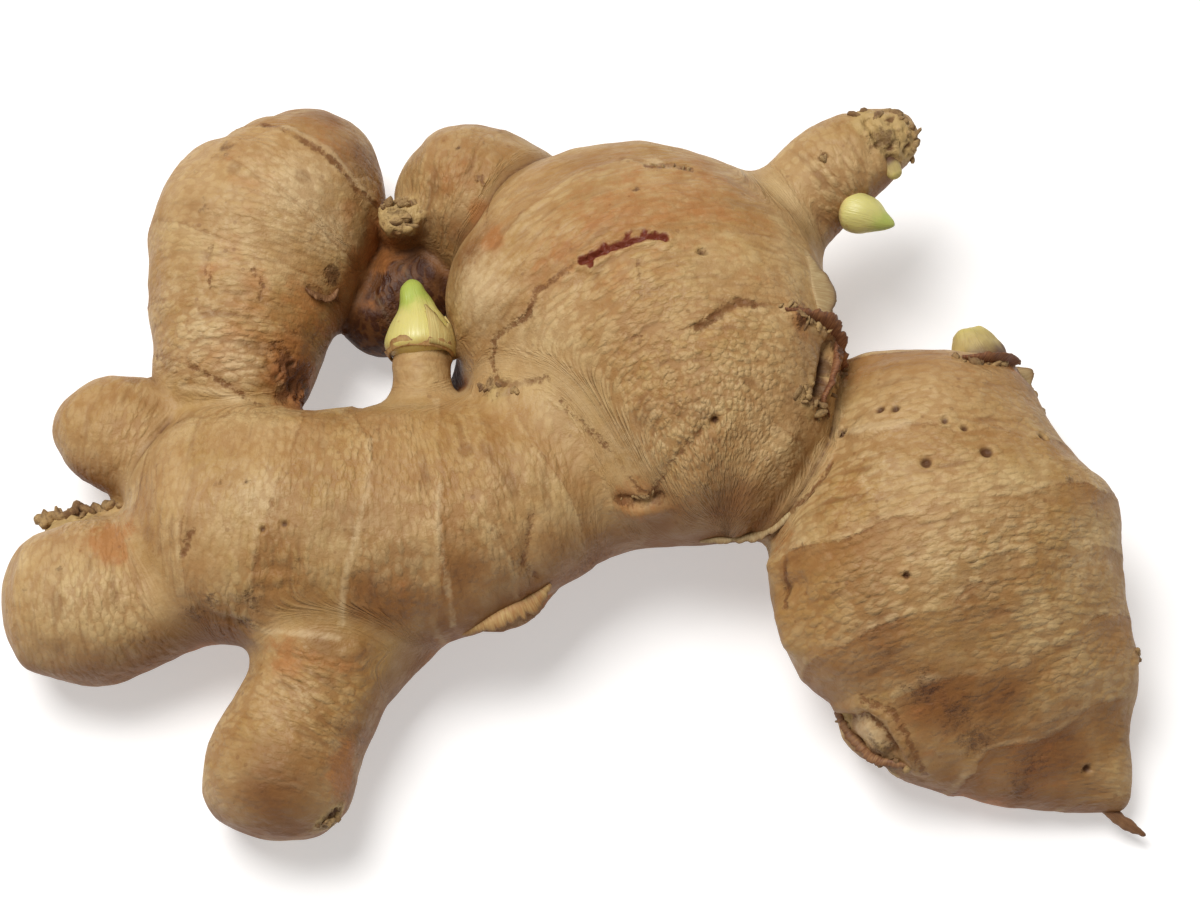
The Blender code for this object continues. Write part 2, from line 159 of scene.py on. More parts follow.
FRONT_FINGER = [
    (-35.5, -18, 16, 14, 13), (-38.8, -31, 13.5, 11.2, 12.2), (-43.4, -40.5, 12.3, 11.5, 12.4),
    (-46, -49, 11.8, 11.8, 12.2), (-46.8, -57.2, 11.5, 10.2, 9.5),
]
BACK_FINGER = [
    (0, 39.2, 15, 12, 12), (-9, 45.3, 15.2, 13, 14), (-17.3, 49.8, 15.3, 12.8, 15.6),
    (-29.7, 51.8, 15, 8, 9.5),
]
UNDER_FINGER = [
    (-16, 42, 10, 9, 8), (-24, 38, 9.5, 9, 8.5), (-31, 33, 9, 8, 8), (-37.5, 27.5, 8.5, 5.5, 6.5),
]
TOP_KNOB = [
    (31, 37, 24, 8.5, 8.5), (37.5, 45.3, 27, 8.2, 7.8), (43, 49.9, 29, 8.1, 7.2), (48.5, 52.6, 30, 6.7, 6),
    (52.6, 54.2, 30.5, 4.8, 4.6), (56, 54.6, 31, 3, 3),
]
BUD_STALK = [
    (-24, 8, 22, 5.5, 5.5), (-24, 16, 23.5, 4.8, 4.8), (-24.3, 20.5, 24, 5.2, 5.2),
]
BRIDGE = [
    (-16, 9, 13, 7, 8), (-13.5, 18, 12.5, 6.5, 8), (-11, 28, 13, 7, 8),
]
DRY_SEAT = [
    (66.5, 9, 19.5, 8, 8), (66.3, 14, 21, 6.5, 6.5), (66, 18.8, 22.2, 4.9, 4.9),
]
WEB = [
    (-24, -20, 13, 7, 7), (-29, -27, 12, 6, 8), (-34, -33, 12, 5, 8),
]
SADDLE = [
    (-14, 12, 18, 7, 8), (-4, 7.5, 23, 10, 12.3), (6, 2.5, 23, 11, 12.3), (16, -4, 20, 9, 11),
    (24, -9, 17, 5, 8),
]
CORNER = [
    (43.5, 13.5, 20, 3.2, 5), (46.8, 15.2, 21, 4.6, 6.5), (52, 15, 21.5, 5.4, 7.5), (58, 14.2, 20.5, 6, 8),
]
CRUST_SEAT = [
    (-68, -5.2, 11, 3.6, 3), (-79, -5, 8.5, 3.2, 3), (-87.5, -5, 8.5, 2.2, 2.2),
]
STUB = [
    (-27.5, 44.5, 12, 4, 4), (-28, 43.5, 21, 3.3, 3.3), (-28.4, 43, 26, 3.7, 3.5),
]
LEDGE = [
    (-20, -20.5, 11, 3, 1.5), (-10.5, -17.6, 10.5, 5.6, 2), (-2.5, -12.5, 11, 3, 1.5),
]
FOLD = [
    (43, -33.5, 10, 1.5, 2), (45.5, -39.5, 7.5, 3, 2.6), (53, -43, 6.5, 2.5, 2),
]
ROOTLET = [
    (84, -50, 5, 1, 0.8), (87.5, -52.8, 4.2, 1, 0.6), (90.8, -54.6, 3.4, 0.4, 0.4),
]

# The swellings by lobe. The first of each lobe carries its growth rings.
LOBES = {
    "trunk": [
        {"stations": TRUNK, "blunt": (12, 8)},
        {"stations": SADDLE, "blunt": (5, 4)},
        {"stations": WEB, "blunt": (4, 4)},
        {"stations": LEDGE, "blunt": (2, 2)},
        {"stations": CRUST_SEAT, "blunt": (2, 2)},
    ],
    "heart": [{"stations": HEART, "blunt": (3, 4), "headings": HEART_HEADINGS}],
    "shoulder": [
        {"stations": SHOULDER, "blunt": (6, 2), "headings": SHOULDER_HEADINGS},
        {"stations": CORNER, "blunt": (3, 3)},
        {"stations": DRY_SEAT, "blunt": (3, 1)},
        {"stations": FOLD, "blunt": (2, 2)},
    ],
    "tall_finger": [{"stations": TALL_FINGER, "blunt": (8, 6)}],
    "knuckle": [{"stations": KNUCKLE, "blunt": (6, 7)}],
    "side_finger": [{"stations": SIDE_FINGER, "blunt": (8, 5)}],
    "front_finger": [{"stations": FRONT_FINGER, "blunt": (8, 6)}],
    "back_finger": [
        {"stations": BACK_FINGER, "blunt": (6, 8)},
        {"stations": STUB, "blunt": (1, 0.8), "level": BACK},
    ],
    "under_finger": [
        {"stations": UNDER_FINGER, "blunt": (6, 6)},
        {"stations": BRIDGE, "blunt": (4, 4)},
    ],
    "top_knob": [{"stations": TOP_KNOB, "blunt": (5, 2)}],
    "stalk": [{"stations": BUD_STALK, "blunt": (3, 1)}],
}
# The heart's rings are arcs round this point, where it grows out of the trunk.
HEART_ROOT = (24.0, -12.0)
HEART_ARM = 40.0

# Growth rings: traced in the photograph, as a list of pixels, or given as (distance along the lobe, how much
# it leans sideways).
RINGS = {
    "trunk": [
        (3, 0.1), [(196, 430), (186, 480), (180, 540), (190, 600)],
        [(300, 420), (282, 480), (262, 530), (255, 583), (262, 628)],
        [(350, 409), (372, 465), (361, 516), (342, 566), (342, 631)],
        [(440, 398), (437, 516), (448, 617), (454, 628)], [(476, 395), (493, 454), (500, 520), (520, 590)],
        [(510, 401), (541, 451), (560, 490), (590, 560)], [(560, 400), (605, 450), (640, 490), (650, 530)],
    ],
    "heart": [
        (16, 0), [(600, 400), (640, 350), (697, 328), (724, 312), (753, 304), (800, 310)],
        [(498, 383), (491, 360), (494, 339), (528, 315), (536, 291), (571, 269), (600, 255), (655, 235)],
        [(500, 240), (560, 185), (625, 158), (690, 172), (760, 200)],
    ],
    "shoulder": [
        (4, 0), [(850, 436), (906, 424), (960, 430), (1043, 437)],
        [(812, 542), (858, 531), (901, 517), (944, 501), (976, 497), (1029, 491), (1053, 483)],
        [(847, 648), (869, 627), (901, 614), (944, 606), (992, 581), (1031, 566), (1096, 551)],
        [(895, 699), (928, 684), (1019, 667), (1048, 648), (1088, 630), (1120, 612)],
        [(950, 790), (976, 774), (992, 750), (1035, 737), (1088, 710), (1134, 694)], (84, 0),
    ],
    "tall_finger": [
        [(155, 358), (210, 375), (262, 405)], [(150, 300), (200, 306), (250, 318), (300, 335)],
        [(150, 225), (205, 232), (260, 255), (330, 290)],
        [(200, 150), (245, 172), (290, 200), (330, 245), (352, 262)],
        [(262, 125), (300, 140), (330, 160), (355, 190), (375, 205)], (57, -0.2),
    ],
    "knuckle": [(6, 0), (13, 0.1), (19, 0)],
    "side_finger": [(9, -0.1), (17, 0.1), (24, 0), (32, 0.1)],
    "front_finger": [[(262, 652), (310, 655), (365, 668), (395, 690)], (18, 0.1), (27, -0.1), (35, 0)],
    "back_finger": [(12, 0.2), (20, 0.1), (27, 0)],
    "under_finger": [(6, 0), (13, 0.1), (20, 0)],
    "top_knob": [(9, 0), [(800, 150), (825, 165), (850, 200), (852, 215)], (21, 0.1), (26, 0)],
    "stalk": [(4, 0), (8, 0.1), (11, 0)],
}
# The least gap between two rings, and how far a ring wavers and over what length.
RING_GAP = 2.0
RING_WAVER = 1.3
RING_WAVER_SIZE = 8.0
# How far past the first and the last ring the next one would be.
RING_END = 9.0

# Lines traced in the photograph, as (width in millimetres, pixels).
DARK_LINES = [
    (0.5, [(571, 269), (536, 291), (528, 315), (494, 339), (491, 360), (498, 383)]),
    (0.5, [(498, 383), (520, 384), (547, 379)]), (0.9, [(697, 328), (724, 312), (737, 301), (753, 304)]),
    (0.7, [(262, 125), (300, 140), (330, 160), (355, 190), (375, 205)]), (0.7, [(192, 531), (183, 555)]),
    (0.5, [(532, 516), (524, 564), (538, 578)]), (0.3, [(560, 400), (600, 440), (640, 490), (655, 495)]),
    (0.3, [(700, 430), (670, 465), (655, 490)]), (0.2, [(638, 264), (641, 296)]),
    (0.2, [(619, 335), (641, 338)]), (1.2, [(620, 500), (640, 503), (660, 498)]),
    (1, [(649, 165), (670, 165), (689, 170)]), (1.6, [(826, 350), (822, 372), (818, 398)]),
    (0.5, [(785, 560), (784, 587), (790, 606)]),
    (0.5, [(740, 544), (767, 534), (790, 514), (807, 499), (822, 480), (831, 464)]),
    (0.6, [(848, 716), (868, 714), (886, 728), (896, 750)]),
    (0.5, [(834, 712), (862, 697), (895, 712), (912, 742), (926, 772)]),
    (0.9, [(868, 122), (878, 140), (893, 162)]), (0.8, [(310, 288), (325, 294), (337, 300)]),
    (0.5, [(155, 358), (190, 364), (225, 384), (262, 405)]), (0.3, [(210, 245), (206, 270), (212, 288)]),
    (0.3, [(252, 268), (262, 285), (259, 300)]), (0.3, [(480, 175), (490, 200), (484, 225)]),
]
PALE_LINES = [
    (1.1, [(855, 432), (880, 428), (906, 424)]), (0.25, [(262, 630), (285, 631), (310, 634), (338, 638)]),
    (0.3, [(370, 440), (368, 490), (355, 540), (344, 581), (341, 625)]),
    (0.3, [(436, 400), (440, 490), (438, 528), (448, 587), (453, 625)]),
    (0.4, [(180, 385), (215, 392), (240, 400)]), (1.2, [(807, 256), (815, 290), (824, 323)]),
    (0.7, [(285, 128), (325, 150), (352, 180), (370, 200)]),
]
CRACK = {"pixels": [(582, 262), (600, 254), (622, 246), (640, 241), (655, 238), (665, 240)], "width": 0.8}
CRACK_SPURS = [
    [(600, 254), (604, 247)], [(622, 246), (630, 233)], [(640, 241), (646, 232)], [(590, 258), (592, 266)],
]

# Folds of the skin: how far each rises, or sinks, its half width, both in millimetres, and its pixels.
FOLDS = [
    (-0.55, 1, [(716, 421), (690, 442), (668, 470), (656, 498)]),
    (0.6, 2.2, [(726, 430), (706, 460), (690, 495), (682, 530)]),
    (0.55, 2, [(790, 440), (765, 462), (746, 500), (738, 532)]),
    (-0.35, 1.6, [(770, 445), (742, 470), (722, 505), (716, 535)]),
    (0.7, 1.3, [(825, 455), (806, 484), (786, 512), (762, 534)]),
    (-0.45, 1.2, [(819, 445), (795, 480), (775, 508), (750, 532)]),
    (-0.7, 0.8, [(620, 498), (640, 504), (660, 497)]), (0.6, 1.2, [(612, 506), (635, 514), (668, 506)]),
    (-0.5, 1.1, [(697, 332), (724, 316), (740, 304)]), (0.35, 1.3, [(690, 322), (720, 304), (745, 294)]),
    (0.5, 1.4, [(257, 641), (300, 640), (356, 650)]), (-0.4, 1, [(532, 516), (524, 564), (538, 578)]),
    (0.45, 1.2, [(262, 125), (300, 140), (330, 160), (355, 190), (375, 205)]),
    (0.5, 1, [(855, 436), (880, 430), (906, 424)]),
    (0.5, 1.2, [(855, 710), (880, 722), (901, 737), (928, 769)]),
    (1, 1.1, [(838, 706), (862, 702), (890, 716), (906, 742), (918, 770)]),
    (-0.8, 0.8, [(848, 716), (868, 714), (886, 728), (896, 750)]),
    (0.6, 1.2, [(856, 730), (872, 728), (882, 744)]), (1.5, 2.8, [(786, 614), (793, 640)]),
    (-1.1, 1.4, [(783, 590), (800, 584)]), (1, 2, [(765, 548), (772, 565)]),
    (0.8, 1.2, [(1136, 640), (1134, 660)]), (-0.35, 0.8, [(250, 590), (262, 592), (290, 586)]),
    (-0.35, 0.8, [(262, 570), (285, 572), (300, 566)]), (-0.5, 1, [(190, 600), (210, 618), (240, 625)]),
    (-0.6, 1.2, [(352, 262), (368, 280), (372, 300)]),
    (-0.7, 1.8, [(265, 345), (285, 362), (300, 385), (306, 405)]),
    (-2.2, 0.9, [(828, 342), (825, 362), (820, 382), (814, 400)]),
    (0.9, 1.1, [(836, 350), (833, 372), (826, 392)]), (0.7, 1, [(792, 316), (812, 326), (826, 338)]),
    (0.6, 1, [(800, 394), (810, 404), (822, 412)]), (-0.5, 0.7, [(858, 128), (868, 142), (872, 160)]),
    (-0.6, 0.7, [(900, 112), (893, 130), (905, 150)]), (0.5, 1.2, [(410, 230), (425, 250), (435, 275)]),
    (-1, 0.8, [(868, 122), (878, 140), (893, 162)]),
]

# Blots: the pixel, or the place of one that the camera doesn't see, then radius and strength.
WARM_BLOTS = [
    (110, 540, 5, 0.9), (290, 660, 5, 0.5), (350, 660, 3.5, 0.5), (372, 245, 6, 0.9), (355, 275, 5, 0.8),
    (310, 300, 6, 0.6), (255, 290, 4, 0.5), (480, 215, 3, 0.9), (492, 240, 3, 0.9), (342, 776, 4, 1),
    (346, 755, 3, 0.8), (207, 270, 3, 0.6), (260, 278, 2.2, 0.6), (285, 360, 6, 1), (300, 392, 6.5, 1),
    (330, 320, 5, 0.5), (225, 250, 4, 0.5), (150, 350, 4, 0.4), (345, 215, 4, 0.6), (540, 600, 4, 0.7),
    (620, 215, 14, 0.5), (700, 200, 12, 0.45), (560, 250, 9, 0.4), (260, 180, 8, 0.3), (395, 600, 9, 0.2),
    (930, 735, 7, 0.3), (1035, 775, 8, 0.3), (450, 180, 7, 0.35), (330, 135, 6, 0.4), (780, 545, 4, 0.5),
    (635, 500, 5, 0.5), (850, 480, 5, 0.35), (235, 350, 6, 0.45), (800, 316, 3, 0.9), (836, 350, 4.5, 1),
    (815, 400, 4, 0.6), (1010, 366, 3, 0.8), (880, 757, 4.5, 0.6),
]
# Dark spots and scabs, and painted shade in the hollow under the tall finger, in the slit at the heart's
# right edge and in the gaps between lobes.
DARK_AND_SHADE_BLOTS = [
    (332, 275, 1.9, 1), (287, 362, 2.6, 0.8), (297, 380, 3.6, 1), (283, 392, 2.2, 0.9), (303, 402, 2.6, 1),
    (275, 345, 1.6, 0.6), (225, 148, 2.6, 0.45), (205, 205, 1.4, 0.4), (195, 618, 2.6, 0.5),
    (245, 625, 2.6, 0.5), (177, 423, 1.2, 0.5), (218, 482, 0.7, 0.7), (248, 481, 0.7, 0.7),
    (635, 189, 0.9, 0.7), (701, 252, 1.2, 0.5), (716, 421, 0.8, 0.6), (906, 576, 0.8, 0.8),
    (1069, 480, 1.1, 0.7), (60, 570, 0.8, 0.5), (25, 590, 0.8, 0.5), (330, 818, 2.6, 1),
    (955, 715, 5, 0.45), (1030, 770, 5, 0.4), (885, 757, 4, 0.9), (823, 158, 0.9, 0.8), (882, 140, 3, 0.6),
    (784, 587, 1.6, 0.5), (775, 609, 1.2, 0.5), (762, 550, 1.6, 0.5), (823, 411, 2.4, 0.9),
    (826, 366, 2.2, 1), (821, 385, 1.8, 1), (807, 395, 2.2, 0.8), (835, 345, 3.6, 0.9),
    (800, 316, 2.6, 0.7), (490, 385, 2.4, 0.6), (395, 320, 4, 0.5), (1136, 654, 1, 0.7),
    (432, 128, 0.9, 0.7), (458, 146, 0.7, 0.7), (470, 165, 0.6, 0.6), (449, 195, 0.8, 0.5),
    (478, 178, 0.9, 0.6), (925, 690, 4, 0.5), (975, 740, 4, 0.5), (1020, 790, 3.5, 0.5),
    (700, 560, 2, 0.4), (250, 600, 2.2, 0.5), (210, 600, 1.8, 0.5), (1139, 699, 1, 0.7),
    (395, 215, 3, 0.5),
]
# Pale patches of skin, and painted highlights on the tops of the lobes.
PALE_AND_HIGHLIGHT_BLOTS = [
    (258, 495, 6, 0.5), (654, 161, 1.6, 0.9), (900, 130, 3.4, 0.8), (395, 205, 2.6, 0.7),
    (220, 290, 9, 0.35), (300, 190, 8, 0.7), (330, 225, 6, 0.6), (262, 165, 6, 0.4), (200, 330, 8, 0.5),
    (235, 365, 6, 0.6), (170, 290, 5, 0.4), (1085, 560, 8, 0.4), (270, 700, 7, 0.35), (60, 600, 7, 0.3),
    (960, 560, 12, 0.3), (872, 734, 3.4, 0.9), (400, 700, 3, 0.3), (640, 440, 7, 0.35), (880, 470, 7, 0.4),
    (1000, 540, 8, 0.3), (300, 700, 4, 0.4), (285, 225, 5, 0.4), (700, 400, 9, 0.25), (240, 225, 8, 0.3),
    (482, 290, 8, 0.6), (540, 330, 7, 0.35),
]
# Where the skin is most wrinkled.
WRINKLE_BLOTS = [
    (670, 400, 14, 0.9), (620, 300, 12, 0.5), (720, 350, 10, 0.7), (280, 572, 6, 0.9), (215, 620, 6, 0.8),
    (225, 355, 9, 1), (200, 320, 6, 0.6), (440, 170, 7, 0.6), (860, 600, 12, 0.75), (850, 480, 10, 0.65),
    (960, 430, 10, 0.5), (1040, 660, 12, 0.6), (1000, 560, 14, 0.6), (460, 500, 10, 0.7),
    (330, 470, 10, 0.5), (400, 580, 8, 0.7), (320, 690, 8, 0.7), (230, 730, 6, 0.4), (120, 600, 10, 0.4),
    (200, 620, 7, 0.6), (140, 425, 6, 0.4), (840, 190, 6, 0.6),
]

# Brown patches and painted shade, traced in patches, and how much painted shade and brown each lobe has all
# over; the under finger, which lies in shadow, has the most.
BROWN_AND_SHADE_BLOTS = [
    (395, 605, 7, 0.8), (368, 590, 5, 0.8), (425, 605, 5, 0.8), (400, 560, 6, 0.5), (328, 116, 7, 0.65),
    (362, 158, 6, 0.75), (290, 104, 5, 0.4), (365, 740, 5, 0.8), (350, 795, 6, 0.78), (310, 815, 7, 0.6),
    (330, 420, 3, 0.5), (350, 520, 8, 0.35), (300, 560, 9, 0.3), (470, 575, 7, 0.6), (560, 560, 6, 0.6),
    (640, 525, 5, 0.6), (735, 505, 8, 0.75), (790, 470, 5, 0.5), (1050, 755, 11, 0.85),
    (945, 700, 10, 0.8), (1000, 700, 7, 0.8), (1030, 775, 7, 0.8), (880, 650, 8, 0.5), (980, 640, 9, 0.35),
    (275, 800, 10, 0.8), (370, 720, 5, 0.6), (355, 650, 6, 0.45), (390, 320, 9, 1), (350, 330, 8, 1),
    (295, 375, 6, 1), (340, 300, 5, 0.7), (345, 150, 6, 0.45), (365, 240, 5, 0.5), (470, 250, 6, 0.7),
    (120, 670, 6, 0.5), (800, 220, 4, 0.4), (600, 170, 10, 0.3), (740, 190, 8, 0.3), (810, 350, 6, 0.45),
    (388, 165, 5, 0.8), (420, 118, 5, 0.5), (500, 115, 5, 0.4), (455, 235, 6, 0.6), (425, 215, 4, 0.6),
    (190, 630, 5, 0.6), (245, 640, 5, 0.6), (320, 640, 4, 0.5), (430, 640, 5, 0.6), (500, 620, 5, 0.6),
    (700, 545, 6, 0.6), (1100, 620, 7, 0.2), (1115, 720, 7, 0.6), (1090, 790, 6, 0.6), (865, 590, 5, 0.4),
    (60, 655, 5, 0.5), (220, 790, 5, 0.5), (155, 400, 4, 0.4),
]
LOBE_SHADE_AND_BROWN = {"under_finger": 1.0, "stalk": 0.1, "back_finger": 0.2}

# Where the skin has crumbled to crust.
ROUGH_BLOTS = [
    (893, 134, 4.6, 1), (868, 122, 3.4, 0.8), (908, 150, 2.6, 0.9), (398, 212, 4.2, 1),
    (286, 372, 3.4, 0.8), (298, 396, 3.4, 0.9), (985, 352, 4, 0.9), (836, 345, 4.2, 0.8),
    (815, 400, 3.6, 0.9), (798, 315, 2.6, 0.7), (-86, -3.4, 9.5, 4.6, 1), (-79.5, -3.2, 10, 4.4, 1),
    (-72.5, -3.6, 11.5, 3, 0.8), (880, 757, 4.4, 0.8), (845, 715, 2.4, 0.7), (330, 818, 3, 1),
    (498, 392, 2.6, 0.7), (640, 500, 2.8, 0.5),
]

# The pits that old roots left, as in the solid, as (x, y, radius), and smaller ones traced by pixel.
PITS = [
    (54, -5.2, 0.9), (63.4, -3.4, 1), (47.8, 5.2, 0.7), (50, 5, 0.7), (57.3, 2.1, 0.6), (60.3, 0.9, 0.6),
    (73, 1, 0.7), (42.2, 2.7, 0.8), (22, 1.3, 0.6), (80.6, -46.4, 0.7),
]
SMALL_PITS = [(262, 529, 0.5), (284, 524, 0.5), (701, 252, 0.4), (906, 576, 0.45)]

# How finely the skin is made, in millimetres, and how much it is smoothed at first and again where lobes
# merge softly. It is finer within reach of the pits and the crack.
SKIN_VOXEL = 0.82
SKIN_PASSES = 11
SKIN_SHARE = 0.5
SOFT_PASSES = 160
SOFT_SHARE = 0.5
REFINED_REACH = 2.4
SKIN_GRID = {"around": 64, "along": 48}
POLE_WIDTH = 1e-6
PIT_VIEW_HEIGHT = 100.0

# How a swelling's spine is sampled, and how closely a point's place on it is then found.
SPINE_STEP = 1e-3
SPINE_SAMPLES = 30
SPINE_STEPS = 3

# Which lobes merge softly, and how much. The softness fades over its reach, and hides the crease.
SOFT_PAIRS = {
    ("trunk", "heart"): 1.0, ("trunk", "front_finger"): 0.6, ("trunk", "tall_finger"): 0.5,
    ("trunk", "side_finger"): 0.6, ("trunk", "stalk"): 0.3, ("heart", "top_knob"): 0.3,
}
SOFT_REACH = 6.0
SOFT_CREASE = 7.0
GRAIN_BLEND = 1.2

# The smooth noise, and the uneven edges of the blots.
WAVE_CELLS = 32
WAVE_GAIN = 1.6
BLOT_RAGGED = 0.35
BLOT_RAGGED_SIZE = 2.0
BLOT_FALL = 1.2
FAR_AWAY = 50.0
# Skin that faces lower than this is hidden in the photograph, and gets its marks at random.
HIDDEN_SLOPE = -0.1

# The way that the sides with painted shade face, and how plainly each lobe shows its rings away from its
# creases.
SHADED_SIDE_WAY = np.array([0.15, -0.8, -0.58])
RING_FADE = 4.5
RINGS_SHOWN = {
    "shoulder": 1.2, "trunk": 0.85, "tall_finger": 0.8, "heart": 0.65, "knuckle": 0.4, "side_finger": 0.4,
}
# The least wrinkled skin, and how the wrinkles are drawn out along the lobe, aside and outwards.
WRINKLE_FLOOR = 0.32
WRINKLE_STRETCH = np.array([1 / 2.6, 1 / 6.0, 1 / 6.0])

# Random blots on the hidden sides: how many, their least and most radius, and their seed.
HIDDEN_WARM = (22, (3, 9), 21)
HIDDEN_DARK = (40, (0.6, 3.5), 22)
HIDDEN_PALE = (16, (3, 8), 23)
HIDDEN_PALE_SHARE = 0.6

# The skin's relief, in millimetres. The soft lumps: height, size, seed.
LUMPS = [(0.42, 11.0, 9), (0.26, 5.0, 10)]
# How high each mark stands, or how deep it lies, and its half width.
RELIEF = {
    "ring": (0.15, 0.8),
    "past_ring": (-0.24, 1.5),
    "crease": (-0.55, 0.9),
    "dark_line": (-0.18, 0.5),
    "pale_line": (0.12, 0.6),
    "crack_lip": (0.4, 0.5),
    "pit_lip": (0.12, 0.4),
}
# How far past a ring its dip lies, and how far outside the crack and the pits their lips lie.
PAST_RING = 1.9
CRACK_LIP = 0.6
PIT_LIP = 0.5
# The crack's depth and the width of its sides, and half the width of its spurs.
CRACK_DEPTH = 1.1
CRACK_SIDE = 0.5
SPUR_HALF_WIDTH = 0.15
# How steep a pit's sides are, how far outside its radius they begin and how far in they go.
PIT_SLOPE = 0.9
PIT_EDGE = 0.35
PIT_REACH = 0.9
# The height of the broad wrinkles and of the finer ones, which are that many times as close.
BROAD_WRINKLES = 0.16
FINE_WRINKLES = 0.08
FINE_WRINKLES_TIMES = 2.1
# The height of the crumbled patches and of the uneven ground under them.
CRUMBLED_HEIGHT = 0.95
CRUMBLED_GROUND = 0.4


def eased(keys, values, at):
    """values at the given keys, joined by a smooth curve and read at each number in at."""
    keys, values = np.asarray(keys, float), np.asarray(values, float)
    slopes = np.gradient(values, keys, axis=0)
    i = np.clip(np.searchsorted(keys, at, side="right") - 1, 0, len(keys) - 2)
    span = keys[i + 1] - keys[i]
    t = (at - keys[i]) / span
    rise = 3 * t**2 - 2 * t**3
    start = (t**3 - 2 * t**2 + t) * span
    end = (t**3 - t**2) * span
    columns = (slice(None), None)
    return (
        values[i] * (1 - rise)[columns]
        + values[i + 1] * rise[columns]
        + slopes[i] * start[columns]
        + slopes[i + 1] * end[columns]
    )


def rounding(along, length, blunt):
    """How far each point of a swelling stands out, from 0 at a tip to 1 past its rounded end."""
    near_start = np.clip(along / blunt[0], 0, 1)
    near_end = np.clip((length - along) / blunt[1], 0, 1)
    return np.sqrt((1 - (1 - near_start) ** 2) * (1 - (1 - near_end) ** 2))


def spine_at(stations, along, headings=None, level=UP):
    """At each distance along a swelling: its station, tangent, side and thickness directions."""
    points = np.asarray(stations, float)
    keys = np.concatenate([[0], np.cumsum(np.linalg.norm(np.diff(points[:, :3], axis=0), axis=1))])
    along = np.clip(along, 0, keys[-1])
    step = keys[-1] * SPINE_STEP
    ahead = eased(keys, points[:, :3], np.clip(along + step, 0, keys[-1]))
    behind = eased(keys, points[:, :3], np.clip(along - step, 0, keys[-1]))
    tangent = ahead - behind
    tangent /= np.linalg.norm(tangent, axis=1)[:, None]
    if headings is None:
        side = np.cross(level, tangent)
        side /= np.linalg.norm(side, axis=1)[:, None]
        thick = np.cross(tangent, side)
    else:
        turned = np.radians(eased(keys, np.asarray(headings, float)[:, None], along)[:, 0])
        side = np.column_stack([np.cos(turned), np.sin(turned), np.zeros_like(turned)])
        thick = np.tile(level, (len(side), 1))
    return eased(keys, points, along), tangent, side, thick


def spine_length(stations):
    """The length of a swelling's spine."""
    points = np.asarray(stations, float)[:, :3]
    return float(np.linalg.norm(np.diff(points, axis=0), axis=1).sum())


def to_row(points):
    """Points of the stations' frame, in metres in the row's frame."""
    return (np.asarray(points, float) - MIDDLE) * MM


def to_hand(points):
    """Points of the row's frame, in millimetres in the stations' frame."""
    return np.asarray(points, float) / MM + MIDDLE


def sort_faces(bm):
    """Puts the faces in the order of their corners, because a new sphere has them in another one each run."""
    bm.verts.index_update()
    count = len(bm.verts)

    def face_order(face):
        """A number that no other face has."""
        first, second, third = sorted(vertex.index for vertex in face.verts)[:3]
        return (first * count + second) * count + third

    bm.faces.sort(key=face_order)


def swelling_mesh(stations, blunt, headings=None, level=UP, grid=None):
    """A UV sphere drawn out along the stations, in the row's frame."""
    grid = grid or SKIN_GRID
    bm = bmesh.new()
    bmesh.ops.create_uvsphere(bm, u_segments=grid["around"], v_segments=grid["along"], radius=1.0)
    sort_faces(bm)
    unit = np.array([v.co for v in bm.verts])
    length = spine_length(stations)
    reach = np.clip((1 + unit[:, 2]) / 2, 0, 1) * length
    station, _, side, thick = spine_at(stations, reach, headings, level)
    flat = np.hypot(unit[:, 0], unit[:, 1])
    flat[flat < POLE_WIDTH] = 1.0
    out = rounding(reach, length, blunt)
    moved = (
        station[:, :3]
        + (out * station[:, 3] * unit[:, 0] / flat)[:, None] * side
        + (out * station[:, 4] * unit[:, 1] / flat)[:, None] * thick
    )
    for vertex, place in zip(bm.verts, to_row(moved)):
        vertex.co = place
    mesh = bpy.data.meshes.new("swelling")
    bm.to_mesh(mesh)
    bm.free()
    return mesh


def new_object(name, mesh):
    """An object with the mesh, in the scene."""
    obj = bpy.data.objects.new(name, mesh)
    bpy.context.scene.collection.objects.link(obj)
    return obj


def made_plain(obj):
    """Makes what the object's modifiers give its own mesh."""
    graph = bpy.context.evaluated_depsgraph_get()
    mesh = bpy.data.meshes.new_from_object(obj.evaluated_get(graph))
    obj.modifiers.clear()
    obj.data = mesh


def fused_skin():
    """The swellings grown into one skin of even small faces."""
    bm = bmesh.new()
    for swellings in LOBES.values():
        for swelling in swellings:
            mesh = swelling_mesh(**swelling)
            bm.from_mesh(mesh)
            bpy.data.meshes.remove(mesh)
    mesh = bpy.data.meshes.new("ginger_skin")
    bm.to_mesh(mesh)
    bm.free()
    skin = new_object("ginger_skin", mesh)
    fuse = skin.modifiers.new("fuse", "REMESH")
    fuse.mode = "VOXEL"
    fuse.voxel_size = SKIN_VOXEL * MM
    made_plain(skin)
    return skin


def mesh_points(mesh):
    """The mesh's points, in millimetres in the stations' frame."""
    co = np.empty(len(mesh.vertices) * 3)
    mesh.vertices.foreach_get("co", co)
    return to_hand(co.reshape(-1, 3))


def mesh_edges(mesh):
    """The mesh's edges as pairs of point numbers."""
    ends = np.empty(len(mesh.edges) * 2, np.int32)
    mesh.edges.foreach_get("vertices", ends)
    return ends.reshape(-1, 2)


def put_points(mesh, points):
    """Moves the mesh's points."""
    mesh.vertices.foreach_set("co", to_row(points).ravel())
    mesh.update()


def relaxed(points, edges, share, passes):
    """The points after each has moved towards the middle of its neighbours, by its share, passes times."""
    first, second = edges[:, 0], edges[:, 1]
    total = len(points)
    count = np.bincount(edges.ravel(), minlength=total)[:, None]
    share = np.broadcast_to(share, (total,))[:, None]
    for _ in range(passes):
        near = np.column_stack(
            [
                np.bincount(first, points[second, k], total) + np.bincount(second, points[first, k], total)
                for k in range(3)
            ]
        )
        points = points + (near / count - points) * share
    return points


